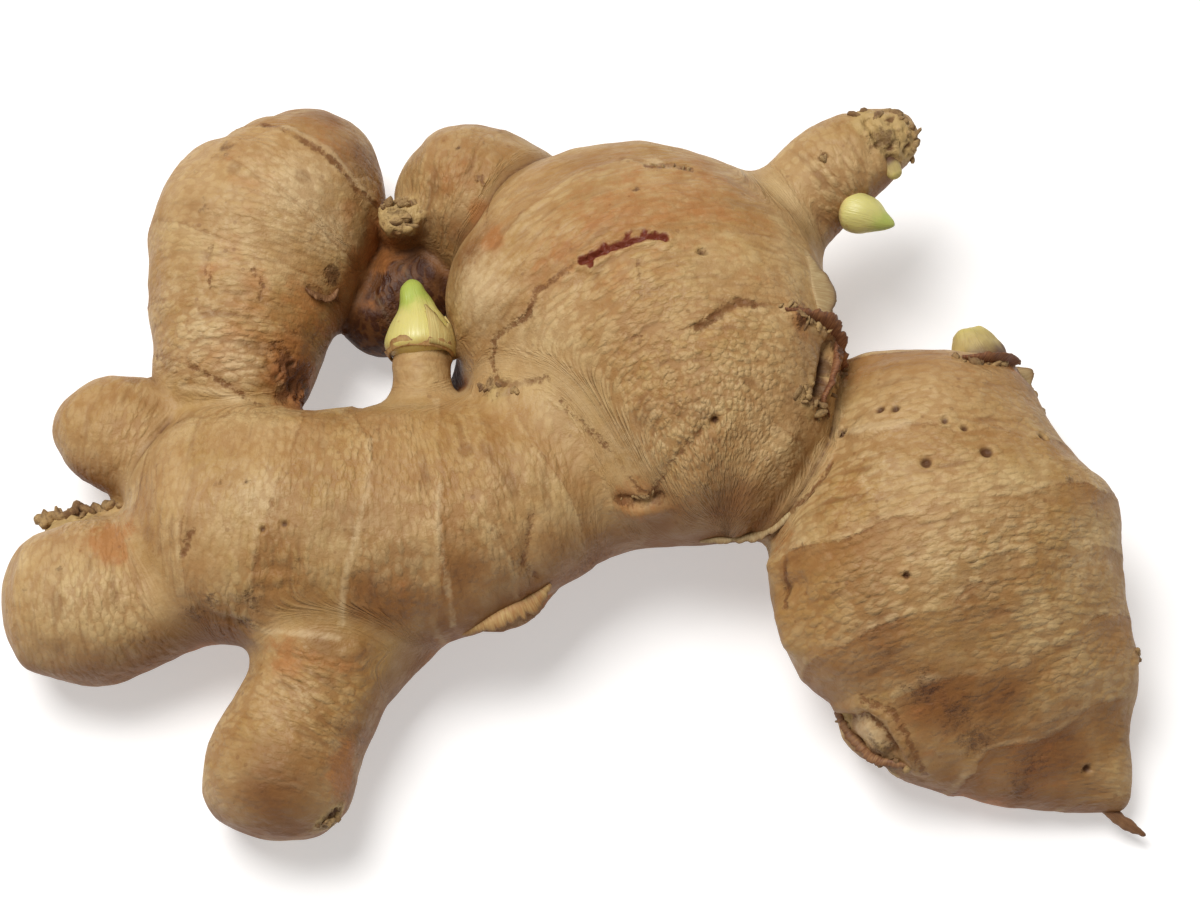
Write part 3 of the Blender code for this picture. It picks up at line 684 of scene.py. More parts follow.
def lobe_reading(points, swelling):
    """Where each point lies on a swelling: how far along, aside and above its spine, and how far outside
    its surface."""
    stations, blunt = swelling["stations"], swelling["blunt"]
    level = (swelling.get("headings"), swelling.get("level", UP))
    length = spine_length(stations)
    at = np.linspace(0, length, SPINE_SAMPLES)
    station, tangent, side, thick = spine_at(stations, at, *level)
    normal = tangent if level[0] is None else np.cross(side, thick)
    best = np.full(len(points), np.inf)
    along = np.zeros(len(points))
    for i in range(SPINE_SAMPLES):
        offset = points - station[i, :3]
        score = (offset @ normal[i]) ** 2 + 0.02 * (offset**2).sum(1)
        nearer = score < best
        best[nearer], along[nearer] = score[nearer], at[i]
    for _ in range(SPINE_STEPS):
        station, tangent, side, thick = spine_at(stations, along, *level)
        normal = tangent if level[0] is None else np.cross(side, thick)
        offset = points - station[:, :3]
        ahead = (offset * normal).sum(1) / (tangent * normal).sum(1)
        along = np.clip(along + np.clip(ahead, -length / SPINE_SAMPLES, length / SPINE_SAMPLES), 0, length)
    station, tangent, side, thick = spine_at(stations, along, *level)
    offset = points - station[:, :3]
    ahead = (offset * tangent).sum(1)
    aside, above = (offset * side).sum(1), (offset * thick).sum(1)
    wide, high = station[:, 3], station[:, 4]
    out = rounding(along, length, blunt)
    outside = (np.hypot(aside / wide, above / high) - out) * (wide + high) / 2
    ends = (along <= 0) | (along >= length)
    beyond = np.where(ends, np.abs(ahead), 0)
    outside = np.hypot(np.maximum(outside, 0), beyond) + np.minimum(outside, 0)
    return {"along": along + ends * ahead, "aside": aside, "above": above, "outside": outside}


def heart_reading(points, reading):
    """The heart's own reading, with its rings as arcs round its root."""
    across, up = points[:, 0] - HEART_ROOT[0], points[:, 1] - HEART_ROOT[1]
    reading["along"] = np.hypot(across, up)
    reading["aside"] = np.arctan2(across, up) * HEART_ARM
    return reading


def read_lobes(points):
    """Each lobe's reading of every point, in the order of LOBES."""
    readings = []
    for name, swellings in LOBES.items():
        reading = lobe_reading(points, swellings[0])
        if name == "heart":
            reading = heart_reading(points, reading)
        for other in swellings[1:]:
            reading["outside"] = np.minimum(reading["outside"], lobe_reading(points, other)["outside"])
        readings.append(reading)
    return readings


def photo_ray(pixel):
    """The direction in which the camera sees a pixel of the photograph."""
    focal = PHOTO_WIDTH * CAMERA_LENS / SENSOR_WIDTH
    aside = (pixel[0] - PHOTO_WIDTH / 2) / focal
    down = (pixel[1] - PHOTO_HEIGHT / 2) / focal
    return (Vector((1, 0, 0)) * aside - CAMERA_UP * down - CAMERA_BACK).normalized()


def skin_tree(mesh):
    """A tree for finding points on the skin."""
    bm = bmesh.new()
    bm.from_mesh(mesh)
    tree = BVHTree.FromBMesh(bm)
    bm.free()
    return tree


def seen_at(tree, spot):
    """The point of the skin that the camera sees at a pixel, or None. A spot of three numbers is its own."""
    if len(spot) == 3:
        return np.array(spot, float)
    place = tree.ray_cast(CAMERA_PLACE, photo_ray(spot))[0]
    return None if place is None else to_hand(place)


def seen_path(tree, pixels):
    """The points of the skin under the pixels, without those that miss it."""
    found = [seen_at(tree, pixel) for pixel in pixels]
    return np.array([place for place in found if place is not None]).reshape(-1, 3)


def path_distance(points, path):
    """The distance from each point to the path."""
    best = np.linalg.norm(points - path[0], axis=1)
    for start, end in zip(path[:-1], path[1:]):
        run = end - start
        share = np.clip((points - start) @ run / max(run @ run, 1e-9), 0, 1)
        best = np.minimum(best, np.linalg.norm(points - start - share[:, None] * run, axis=1))
    return best


def waves(points, size, seed):
    """Smooth noise, mostly from -1 to 1, with the given size in millimetres."""
    rng = np.random.default_rng(seed)
    slopes = rng.normal(size=(WAVE_CELLS, WAVE_CELLS, WAVE_CELLS, 3))
    slopes /= np.linalg.norm(slopes, axis=3)[..., None]
    at = points / size + rng.uniform(0, WAVE_CELLS, 3)
    cell = np.floor(at).astype(int)
    part = at - cell
    ease = part**3 * (part * (part * 6 - 15) + 10)
    result = np.zeros(len(points))
    for corner in np.ndindex(2, 2, 2):
        ix, iy, iz = ((cell + corner) % WAVE_CELLS).T
        weight = np.prod(np.where(corner, ease, 1 - ease), axis=1)
        result += weight * (slopes[ix, iy, iz] * (part - corner)).sum(1)
    return result * WAVE_GAIN


def ring_count(name, reading, tree, waver):
    """How many rings lie behind each point of a lobe, with the fraction of the way to the next, and the gap
    between the two."""
    aside = reading["aside"]
    along = reading["along"] + waver
    edges = []
    for ring in RINGS[name]:
        if isinstance(ring, tuple):
            edges.append(ring[0] + ring[1] * aside)
            continue
        path = seen_path(tree, ring)
        traced = lobe_reading(path, LOBES[name][0])
        if name == "heart":
            traced = heart_reading(path, traced)
        order = np.argsort(traced["aside"])
        edges.append(np.interp(aside, traced["aside"][order], traced["along"][order]))
    edges = np.array(edges)
    for k in range(1, len(edges)):
        edges[k] = np.maximum(edges[k], edges[k - 1] + RING_GAP)
    behind = (along[None] > edges).sum(0)
    ladder = np.vstack([edges[:1] - RING_END, edges, edges[-1:] + RING_END])
    column = np.arange(len(along))
    low, high = ladder[behind, column], ladder[np.minimum(behind + 1, len(ladder) - 1), column]
    gap = np.maximum(high - low, RING_GAP)
    return behind + np.clip((along - low) / gap, 0.02, 0.98), gap


def strongest(points, blots, edge=1.0):
    """The strongest at each point of the blots, given as (place, radius, strength)."""
    field = np.zeros(len(points))
    for centre, radius, strength in blots:
        away = np.linalg.norm(points - centre, axis=1) / radius * edge
        field = np.maximum(field, strength * np.exp(-(away**2) * BLOT_FALL))
    return field


def blot_field(points, tree, blots, seed):
    """The strongest of the traced blots at each point, with uneven edges."""
    edge = 1 + BLOT_RAGGED * waves(points, BLOT_RAGGED_SIZE, seed)
    placed = [(seen_at(tree, spot), radius, strength) for *spot, radius, strength in blots]
    return strongest(points, [blot for blot in placed if blot[0] is not None], edge)


def line_field(points, tree, lines):
    """How far each point is outside the nearest of the traced lines."""
    field = np.full(len(points), FAR_AWAY)
    for width, pixels in lines:
        path = seen_path(tree, pixels)
        if len(path):
            field = np.minimum(field, path_distance(points, path) - width / 2)
    return field


def hidden_field(points, normals, count, sizes, seed):
    """Blots at random places on the sides that the photograph doesn't show."""
    rng = np.random.default_rng(seed)
    low = np.flatnonzero(normals[:, 2] < HIDDEN_SLOPE)
    picked = rng.choice(low, count)
    return strongest(points, [(points[i], rng.uniform(*sizes), rng.uniform(0.4, 0.9)) for i in picked])


def mesh_normals(mesh):
    """The mesh's normals at its points."""
    normals = np.empty(len(mesh.vertices) * 3, np.float32)
    mesh.vertex_normals.foreach_get("vector", normals)
    return normals.reshape(-1, 3).astype(float)


def near_lobes(readings):
    """Which lobe each point belongs to, how much farther the next one is, and how far it is outside each."""
    outside = np.array([reading["outside"] for reading in readings])
    order = np.argsort(outside, axis=0)
    column = np.arange(outside.shape[1])
    return order[0], outside[order[1], column] - outside[order[0], column], outside


def softness(outside):
    """How softly each point's lobe merges with a neighbour, from 0 to 1."""
    names = list(LOBES)
    soft = np.zeros(outside.shape[1])
    for pair, strength in SOFT_PAIRS.items():
        farther = np.maximum(*(outside[names.index(name)] for name in pair))
        soft = np.maximum(soft, strength * np.exp(-((np.maximum(farther, 0) / SOFT_REACH) ** 2)))
    return soft


def soft_share(readings):
    """How strongly each point is smoothed where two lobes merge softly."""
    return SOFT_SHARE * softness(near_lobes(readings)[2])


def refined_near(mesh, spots):
    """Cuts the skin's faces finer within reach of each spot's centre."""
    bm = bmesh.new()
    bm.from_mesh(mesh)
    points = to_hand(np.array([v.co for v in bm.verts]))
    near = np.zeros(len(points), bool)
    for centre, reach in spots:
        near |= np.linalg.norm(points - centre, axis=1) < reach
    cut = [edge for edge in bm.edges if near[edge.verts[0].index] and near[edge.verts[1].index]]
    bmesh.ops.subdivide_edges(bm, edges=cut, cuts=1, use_grid_fill=True)
    bm.to_mesh(mesh)
    bm.free()


def put_values(mesh, name, *columns):
    """Stores one value or three at each point of the mesh."""
    if len(columns) == 1:
        mesh.attributes.new(name, "FLOAT", "POINT").data.foreach_set("value", columns[0].astype(np.float32))
        return
    layer = mesh.attributes.new(name, "FLOAT_VECTOR", "POINT")
    layer.data.foreach_set("vector", np.column_stack(columns).astype(np.float32).ravel())


def pit_places(tree):
    """Each pit's place on the skin and its radius."""
    found = []
    for x, y, radius in PITS:
        above = Vector(to_row((x, y, PIT_VIEW_HEIGHT)))
        found.append((to_hand(tree.ray_cast(above, Vector((0, 0, -1)))[0]), radius))
    return found + [(seen_at(tree, pixel), radius) for *pixel, radius in SMALL_PITS]


def smooth_skin():
    """The bare skin, finer where it has small marks, with its tree, its pits and the crack's path."""
    obj = fused_skin()
    mesh = obj.data
    points, edges = mesh_points(mesh), mesh_edges(mesh)
    points = relaxed(points, edges, SKIN_SHARE, SKIN_PASSES)
    points = relaxed(points, edges, soft_share(read_lobes(points)), SOFT_PASSES)
    put_points(mesh, points)
    tree = skin_tree(mesh)
    pits = pit_places(tree)
    crack = seen_path(tree, CRACK["pixels"])
    spots = [(place, REFINED_REACH) for place in [place for place, radius in pits] + list(crack)]
    spots += [(seen_at(tree, spot), radius) for *spot, radius, strength in ROUGH_BLOTS]
    refined_near(mesh, [spot for spot in spots if spot[0] is not None])
    return obj, tree, pits, crack


def ring_fields(points, readings, nearest, tree):
    """The count of rings behind each point, and the gap that it lies in."""
    waver = RING_WAVER * waves(points, RING_WAVER_SIZE, 1)
    counts, gaps = np.zeros(len(points)), np.zeros(len(points))
    for i, name in enumerate(LOBES):
        here = nearest == i
        part = {key: value[here] for key, value in readings[i].items()}
        counts[here], gaps[here] = ring_count(name, part, tree, waver[here])
    return counts, gaps


def grain_field(readings, outside):
    """Each point's place along, aside and above its lobe, blended between lobes."""
    closeness = np.exp(-(outside - outside.min(0)) / GRAIN_BLEND)
    closeness /= closeness.sum(0)
    grain = np.zeros((outside.shape[1], 3))
    for weight, reading in zip(closeness, readings):
        grain += weight[:, None] * np.column_stack([reading["along"], reading["aside"], reading["above"]])
    return grain


def crack_field(points, tree, crack):
    """How far each point is outside the ragged crack and its spurs."""
    torn = path_distance(points, crack) - CRACK["width"] / 2
    for spur in CRACK_SPURS:
        torn = np.minimum(torn, path_distance(points, seen_path(tree, spur)) - SPUR_HALF_WIDTH)
    return torn + (0.3 * waves(points, 0.9, 5) + 0.3 * waves(points, 3.0, 15))


def brown_and_shade_field(points, normals, edges, tree, nearest):
    """How brown and how shaded the skin is painted: painted shade on the sides that face down and to the
    front, brown patches and painted shade in the traced patches, and both on whole lobes.
    """
    lobe_shade_and_brown = np.array([LOBE_SHADE_AND_BROWN.get(name, 0.0) for name in LOBES])[nearest]
    # Painted shade: the sides that face down and to the front, away from the key light, turn browner.
    brown_and_shade = np.clip(normals @ SHADED_SIDE_WAY * 0.95 + 0.12 + 0.25 * waves(points, 8.0, 16), 0, 0.8)
    brown_and_shade = np.maximum(brown_and_shade, blot_field(points, tree, BROWN_AND_SHADE_BLOTS, 24))
    return relaxed(np.maximum(brown_and_shade, lobe_shade_and_brown)[:, None].repeat(3, 1), edges, 0.5, 10)[:, 0]


def bell(away, width):
    """1 at no distance, falling to nothing smoothly past the width."""
    return np.exp(-((away / width) ** 2))


def raised(kind, away):
    """How far a mark of the kind lifts or lowers each point at the distance from it."""
    height, width = RELIEF[kind]
    return height * bell(away, width)


def ridged(points, size, seed):
    """Sharp crests of noise, from about -1 to 1."""
    return 1 - 2.4 * np.abs(waves(points, size, seed))


def grown_skin():
    """The hand's skin with its lobes, rings, wrinkles, scars and pits, and what its material reads."""
    obj, tree, pits, crack = smooth_skin()
    mesh = obj.data
    points, edges, normals = mesh_points(mesh), mesh_edges(mesh), mesh_normals(mesh)
    readings = read_lobes(points)
    nearest, crease, outside = near_lobes(readings)
    counts, gaps = ring_fields(points, readings, nearest, tree)
    grain = grain_field(readings, outside)
    opened = np.clip(crease / RING_FADE, 0, 1)
    shown = np.array([RINGS_SHOWN.get(name, 0.5) for name in LOBES])[nearest]
    strength = opened * shown * np.clip(0.8 + 0.9 * waves(points, 13.0, 25), 0.1, 1.3)
    crease = crease + SOFT_CREASE * softness(outside)
    past, before = counts % 1 * gaps, (1 - counts % 1) * gaps
    dark_lines = line_field(points, tree, DARK_LINES)
    pale_lines = line_field(points, tree, PALE_LINES)
    torn = crack_field(points, tree, crack)
    wrinkled = WRINKLE_FLOOR + blot_field(points, tree, WRINKLE_BLOTS, 3) + 0.25 * waves(points, 9.0, 4)
    wrinkled = np.clip(wrinkled, 0, 1)
    pit_away = np.full(len(points), FAR_AWAY)
    for place, radius in pits:
        pit_away = np.minimum(pit_away, np.linalg.norm(points - place, axis=1) - radius)
    warm = blot_field(points, tree, WARM_BLOTS, 6)
    warm = np.maximum(warm, hidden_field(points, normals, *HIDDEN_WARM))
    dark = blot_field(points, tree, DARK_AND_SHADE_BLOTS, 7)
    dark = np.maximum(dark, hidden_field(points, normals, *HIDDEN_DARK))
    pale = blot_field(points, tree, PALE_AND_HIGHLIGHT_BLOTS, 8)
    pale = np.maximum(pale, hidden_field(points, normals, *HIDDEN_PALE) * HIDDEN_PALE_SHARE)
    rough = blot_field(points, tree, ROUGH_BLOTS, 17)
    brown_and_shade = brown_and_shade_field(points, normals, edges, tree, nearest)

    # How far each point rises: soft lumps, the rings and the dips past them, and two sizes of wrinkle.
    rise = sum(height * waves(points, size, seed) for height, size, seed in LUMPS)
    uneven = np.clip(0.7 + 1.1 * waves(points, 7.0, 11), 0.05, 1.5) * strength
    rise += uneven * (raised("ring", np.minimum(past, before)) + raised("past_ring", past - PAST_RING))
    drawn_out = grain * WRINKLE_STRETCH
    rise += BROAD_WRINKLES * wrinkled * opened * waves(drawn_out, 1.0, 12)
    finer = waves(drawn_out * FINE_WRINKLES_TIMES, 1.0, 13)
    rise += FINE_WRINKLES * (0.4 + wrinkled) * opened * finer
    # The folds, the creases between lobes, the traced lines, the crack, the pits and the crumbled patches.
    for height, width, pixels in FOLDS:
        rise += height * bell(path_distance(points, seen_path(tree, pixels)), width)
    rise += raised("crease", crease)
    rise += raised("dark_line", np.maximum(dark_lines, 0))
    rise += raised("pale_line", np.maximum(pale_lines, 0))
    rise += raised("crack_lip", torn - CRACK_LIP) - CRACK_DEPTH * np.clip(-torn / CRACK_SIDE, 0, 1)
    rise += raised("pit_lip", pit_away - PIT_LIP) - PIT_SLOPE * np.clip(PIT_EDGE - pit_away, 0, PIT_REACH)
    rise += 0.15 * warm * waves(points, 2.2, 14)
    folded = 0.6 * ridged(points, 2.3, 18) + 0.4 * ridged(points, 1.1, 19)
    rise += rough * (CRUMBLED_HEIGHT * folded + 0.15 + CRUMBLED_GROUND * waves(points, 4.0, 20))
    points = points + normals * rise[:, None]
    points[:, 2] = np.maximum(points[:, 2], 0)
    put_points(mesh, points)
    put_values(mesh, "rings", counts, gaps, strength)
    put_values(mesh, "grain", *grain.T)
    put_values(mesh, "marks", dark_lines, pale_lines, torn)
    put_values(mesh, "blots", warm, dark, pale)
    put_values(mesh, "relief", wrinkled, crease, pit_away)
    put_values(mesh, "sides", brown_and_shade, rough, folded)
    put_values(mesh, "cover", opened)
    mesh.shade_smooth()
    return obj, tree


# Materials.


class Wiring:
    """Adds nodes to one tree. A socket that stands where a number may stand is linked."""

    def __init__(self, tree):
        self.tree = tree

    def add(self, kind, inputs=None, **settings):
        """A node with its settings and its inputs, by name or by number."""
        node = self.tree.nodes.new(kind)
        for key, value in settings.items():
            setattr(node, key, value)
        for key, value in (inputs or {}).items():
            if isinstance(value, bpy.types.NodeSocket):
                self.tree.links.new(value, node.inputs[key])
            else:
                node.inputs[key].default_value = value
        return node

    def math(self, operation, first, second=0.0):
        """One Math node's result."""
        return self.add("ShaderNodeMath", {0: first, 1: second}, operation=operation).outputs[0]

    def times(self, first, second):
        """The product of two values."""
        return self.math("MULTIPLY", first, second)

    def plus(self, *values):
        """The sum of the values."""
        total = values[0]
        for value in values[1:]:
            total = self.math("ADD", total, value)
        return total

    def minus(self, first, second):
        """The first value less the second."""
        return self.math("SUBTRACT", first, second)

    def swing(self, noise, reach):
        """A noise of 0 to 1 moved to either side of nothing, by half the reach."""
        return self.times(self.minus(noise, 0.5), reach)

    def step(self, value, low, high, start=0.0, end=1.0):
        """A smooth step from start to end as the value goes from low to high."""
        inputs = {"Value": value, "From Min": low, "From Max": high, "To Min": start, "To Max": end}
        return self.add("ShaderNodeMapRange", inputs, interpolation_type="SMOOTHSTEP").outputs["Result"]

    def layered(self, colour, *layers):
        """The colour with others laid over it in turn, each given as (share, colour)."""
        for share, tint in layers:
            node = self.add("ShaderNodeMix", {0: share, 6: colour, 7: tint}, data_type="RGBA")
            colour = node.outputs[2]
        return colour

    def vector(self, operation, first, second):
        """One Vector Math node's result. SCALE takes a number."""
        inputs = {0: first, "Scale" if operation == "SCALE" else 1: second}
        return self.add("ShaderNodeVectorMath", inputs, operation=operation).outputs[0]

    def clouds(self, vector, scale, detail=3.0, roughness=0.55, distortion=0.0):
        """A noise from 0 to 1."""
        inputs = {"Vector": vector, "Scale": scale, "Detail": detail}
        inputs.update({"Roughness": roughness, "Distortion": distortion})
        return self.add("ShaderNodeTexNoise", inputs).outputs["Fac"]

    def parts_of(self, vector):
        """The three values of a vector."""
        return self.add("ShaderNodeSeparateXYZ", {0: vector}).outputs

    def stored(self, name, output="Vector"):
        """What is stored at each point under the name."""
        return self.add("ShaderNodeAttribute", attribute_name=name).outputs[output]

    def place(self):
        """The place on the object, in metres."""
        return self.add("ShaderNodeTexCoord").outputs["Object"]

    def use(self, tree, inputs):
        """A group's first output, with its inputs."""
        return self.add("ShaderNodeGroup", inputs, node_tree=tree).outputs[0]

    def mottled(self, place, size, contrast):
        """Blotches of the size in millimetres."""
        return self.use(MOTTLE, {"Vector": place, "Scale": per_mm(size), "Contrast": contrast})

    def specked(self, place, size, amount):
        """Specks of the size in millimetres."""
        return self.use(SPECKS, {"Vector": place, "Scale": per_mm(size), "Amount": amount})

    def lay_on(self, shader, colour, roughness, bump, strength, depth):
        """Gives the shader its colour, its roughness and its relief, with the depth in millimetres."""
        inputs = {"Strength": strength, "Distance": depth * MM, "Height": bump}
        normal = self.add("ShaderNodeBump", inputs).outputs["Normal"]
        for name, socket in (("Base Color", colour), ("Roughness", roughness), ("Normal", normal)):
            self.tree.links.new(socket, shader.inputs[name])


def per_mm(size):
    """The texture scale that gives features of the size, in millimetres, on coordinates in metres."""
    return 1 / (size * MM)


def new_group(name, inputs, output):
    """An empty node group: its tree, its wiring, and its input sockets by name. It puts out one value."""
    tree = bpy.data.node_groups.new(name, "ShaderNodeTree")
    tree.interface.new_socket("Vector", in_out="INPUT", socket_type="NodeSocketVector")
    for socket, value in inputs:
        tree.interface.new_socket(socket, in_out="INPUT", socket_type="NodeSocketFloat").default_value = value
    tree.interface.new_socket(output, in_out="OUTPUT", socket_type="NodeSocketFloat")
    return tree, Wiring(tree), tree.nodes.new("NodeGroupInput").outputs


def mottle_group():
    """Uneven colour: a mask of soft blotches with smaller ones in them."""
    tree, wiring, given = new_group("mottle", [("Scale", 100.0), ("Contrast", 0.2)], "Mask")
    wide = wiring.clouds(given["Vector"], given["Scale"], 5.0, 0.6, 0.4)
    low, high = wiring.minus(0.5, given["Contrast"]), wiring.plus(0.5, given["Contrast"])
    wiring.add("NodeGroupOutput", {"Mask": wiring.step(wide, low, high)})
    return tree


def speck_group():
    """Small dark specks of uneven size, scattered thinly."""
    tree, wiring, given = new_group("specks", [("Scale", 300.0), ("Amount", 0.3)], "Mask")
    inputs = {"Vector": given["Vector"], "Scale": given["Scale"]}
    cells = wiring.add("ShaderNodeTexVoronoi", inputs, feature="F1")
    pick = wiring.parts_of(cells.outputs["Color"])
    kept = wiring.math("LESS_THAN", pick[0], given["Amount"])
    size = wiring.step(pick[1], 0.0, 1.0, 0.1, 0.28)
    dot = wiring.step(wiring.minus(cells.outputs["Distance"], size), -0.08, 0.05, 1.0, 0.0)
    wiring.add("NodeGroupOutput", {"Mask": wiring.times(dot, kept)})
    return tree


def pebble_group():
    """Skin relief: small rounded cells drawn out along the wrinkles, with fine grain on them."""
    tree, wiring, given = new_group("pebbles", [("Scale", 1.0)], "Height")
    inputs = {"Vector": given["Vector"], "Scale": given["Scale"]}
    bent = wiring.add("ShaderNodeTexNoise", {**inputs, "Detail": 2.0}).outputs["Color"]
    inputs["Vector"] = wiring.vector("ADD", given["Vector"], wiring.vector("MULTIPLY", bent, (0.9, 0.9, 0.9)))
    cells = wiring.add("ShaderNodeTexVoronoi", inputs, feature="F1")
    dome = wiring.step(cells.outputs["Distance"], 0.05, 0.8, 1.0, 0.0)
    ridges = wiring.clouds(given["Vector"], wiring.times(given["Scale"], 1.3), 2.0, 0.6)
    height = wiring.plus(wiring.times(dome, 0.6), wiring.times(ridges, 0.4))
    wiring.add("NodeGroupOutput", {"Height": height})
    return tree


def new_paint(name):
    """A material with its wiring and its shader."""
    paint = bpy.data.materials.new(name)
    paint.use_nodes = True
    return paint, Wiring(paint.node_tree), paint.node_tree.nodes["Principled BSDF"]


SKIN_LIGHT = (0.58, 0.405, 0.185, 1.0)
SKIN_MIDDLE = (0.42, 0.25, 0.08, 1.0)
SKIN_DEEP = (0.29, 0.125, 0.034, 1.0)
SKIN_ROSY = (0.45, 0.25, 0.10, 1.0)
SKIN_BROWN = (0.17, 0.065, 0.02, 1.0)
# The colours of the painted shade on the lower and front sides and in the shaded patches, and of its deepest
# parts.
SKIN_SHADE_AND_BROWN = (0.15, 0.046, 0.010, 1.0)
SKIN_DEEPEST_SHADE = (0.042, 0.010, 0.003, 1.0)
SKIN_WARM = (0.40, 0.15, 0.04, 1.0)
SKIN_PALE = (0.68, 0.51, 0.285, 1.0)
CRUST_DARK = (0.20, 0.105, 0.042, 1.0)
CRUST_PALE = (0.50, 0.34, 0.14, 1.0)
CRUST_BROWN = (0.46, 0.30, 0.125, 1.0)
CRUST_RED = (0.36, 0.15, 0.055, 1.0)
# Dark scar colour, also used for painted shade in the creases, the slits and the crust's hollows.
SCAR_AND_SHADE_DARK = (0.085, 0.03, 0.012, 1.0)
SCAR_RED = (0.16, 0.03, 0.012, 1.0)


def skin_paint():
    """The skin: tan with darker bands past each ring, a net of wrinkles with painted shade in its valleys,
    painted shade on its lower and front sides and in its creases and hollows, painted highlights on its tops,
    specks, stains and scars.
    """
    paint, wiring, shader = new_paint("ginger_skin")
    step, times, plus, minus = wiring.step, wiring.times, wiring.plus, wiring.minus
    place = wiring.place()
    grain = wiring.stored("grain")
    kinds = ("rings", "marks", "blots", "relief", "sides")
    rings, marks, blots, relief, sides = (wiring.parts_of(wiring.stored(kind)) for kind in kinds)
    count, gap, strength = rings
    dark_line, pale_line, torn = marks
    warm, dark, pale = blots
    wrinkled, crease, pit = relief
    brown_and_shade, rough, folded = sides
    open_skin = step(wiring.stored("cover", "Fac"), 0.0, 1.0, 0.15, 1.0)

    fine = wiring.clouds(place, per_mm(1.1), 3.0, 0.65)
    medium = wiring.clouds(place, per_mm(4.5), 3.0, 0.6)
    grit = minus(fine, 0.5)
    stretched = wiring.vector("MULTIPLY", grain, (1.0, 0.5, 0.5))
    pebbles = wiring.use(PEBBLES, {"Vector": stretched, "Scale": 1.0})
    long_grain = wiring.vector("MULTIPLY", grain, (0.5, 0.09, 0.09))
    creases = wiring.clouds(long_grain, 1.0, 2.0, 0.55)

    # How near each place is to a ring, and how far past the last one it lies.
    past = times(wiring.math("FRACT", count), gap)
    before = minus(gap, past)
    rough_away = plus(wiring.math("MINIMUM", past, before), times(grit, 1.6))
    broken = times(step(medium, 0.4, 0.62), strength)
    ring_line = times(step(rough_away, 0.0, 0.5, 1.0, 0.0), broken)
    rim = wiring.math("ABSOLUTE", minus(before, 0.7))
    ring_edge = times(step(plus(rim, grit), 0.0, 0.8, 1.0, 0.0), strength)
    band = times(step(past, 0.0, times(gap, 0.8), 1.0, 0.0), strength)

    # The masks of the stains and painted highlights, the painted shade on the sides and in the wrinkles'
    # valleys, the traced lines, the crack, the crust, and the scabs with painted shade in the hollows.
    brown_and_shade_mask = step(plus(brown_and_shade, wiring.swing(medium, 0.4)), 0.0, 0.9)
    ragged = minus(plus(times(medium, 0.9), times(creases, 0.7)), 0.8)
    stain = step(plus(warm, plus(ragged, times(grit, 0.6))), 0.15, 0.7)
    bleached_and_highlight = step(plus(pale, times(grit, 0.8)), 0.1, 0.7)
    # Painted shade in the valleys of the pebbled net and of the long creases, where the bump is lowest.
    valley = step(pebbles, 0.2, 0.5, 1.0, 0.0)
    net_valley_shade = times(times(valley, step(wrinkled, 0.0, 1.0, 0.2, 0.52)), open_skin)
    fold_valley_shade = times(times(step(creases, 0.28, 0.44, 1.0, 0.0), step(wrinkled, 0.0, 1.0, 0.2, 0.45)), open_skin)
    pale_edge = step(plus(pale_line, grit), 0.0, 0.7, 1.0, 0.0)
    worn = step(plus(dark_line, times(grit, 1.9)), -0.1, 0.45, 1.0, 0.0)
    traced = times(worn, step(medium, 0.3, 0.5, 0.35, 1.0))
    raw = step(plus(torn, times(grit, 0.9)), 0.0, 0.5, 1.0, 0.0)
    crumbs = step(plus(folded, times(grit, 0.8)), -0.25, 0.35)
    crumbled = step(plus(rough, times(grit, 0.5)), 0.15, 0.6)
    scab_and_shade = step(plus(dark, times(grit, 0.9)), 0.2, 0.7)
    # Crumbled crust: darker in the low parts of its relief, which is painted shade, and pale or red on its
    # ridges.
    crust_top = wiring.layered(CRUST_PALE, (step(warm, 0.2, 0.8), CRUST_RED))
    crust = wiring.layered(CRUST_DARK, (crumbs, crust_top))

    colour = wiring.layered(
        SKIN_LIGHT,
        (wiring.mottled(place, 22, 0.14), SKIN_MIDDLE),
        (times(wiring.mottled(place, 6.5, 0.2), 0.36), SKIN_DEEP),
        (times(wiring.mottled(place, 14, 0.16), 0.4), SKIN_ROSY),
        (times(wiring.mottled(place, 2.4, 0.14), 0.18), SKIN_PALE),
        (times(band, 0.46), SKIN_DEEP),
        # Painted shade on the sides that face down and to the front and in the shaded patches and lobes, near
        # black where it is deepest, with brown patches among it.
        (times(brown_and_shade_mask, 0.85), SKIN_SHADE_AND_BROWN),
        (times(step(brown_and_shade, 0.8, 1.0), 0.92), SKIN_DEEPEST_SHADE),
        (times(ring_edge, step(medium, 0.42, 0.62, 0.05, 0.26)), SKIN_PALE),
        (times(stain, 0.7), SKIN_WARM),
        # Pale patches, and painted highlights on the lobes' tops.
        (times(bleached_and_highlight, 0.6), SKIN_PALE),
        # Painted shade in the valleys of the wrinkles.
        (net_valley_shade, SKIN_DEEP),
        (fold_valley_shade, SKIN_BROWN),
        # Painted shade in the creases between lobes.
        (times(step(crease, 0.0, 3.0, 1.0, 0.0), 0.5), SKIN_BROWN),
        (times(step(crease, 0.0, 0.8, 1.0, 0.0), 0.6), SCAR_AND_SHADE_DARK),
        (times(ring_line, 0.45), SKIN_BROWN),
        (times(pale_edge, 0.4), SKIN_PALE),
        (times(traced, 0.8), SKIN_BROWN),
        (raw, SCAR_RED),
        (step(pit, -0.35, 0.25, 0.9, 0.0), SCAR_AND_SHADE_DARK),
        (crumbled, crust),
        # Dark scabs, and painted shade in the hollows and slits.
        (times(scab_and_shade, 0.72), SCAR_AND_SHADE_DARK),
        (times(wiring.specked(place, 1.5, 0.14), 0.35), SKIN_BROWN),
        (times(wiring.specked(place, 5.5, 0.16), 0.3), SKIN_BROWN),
    )

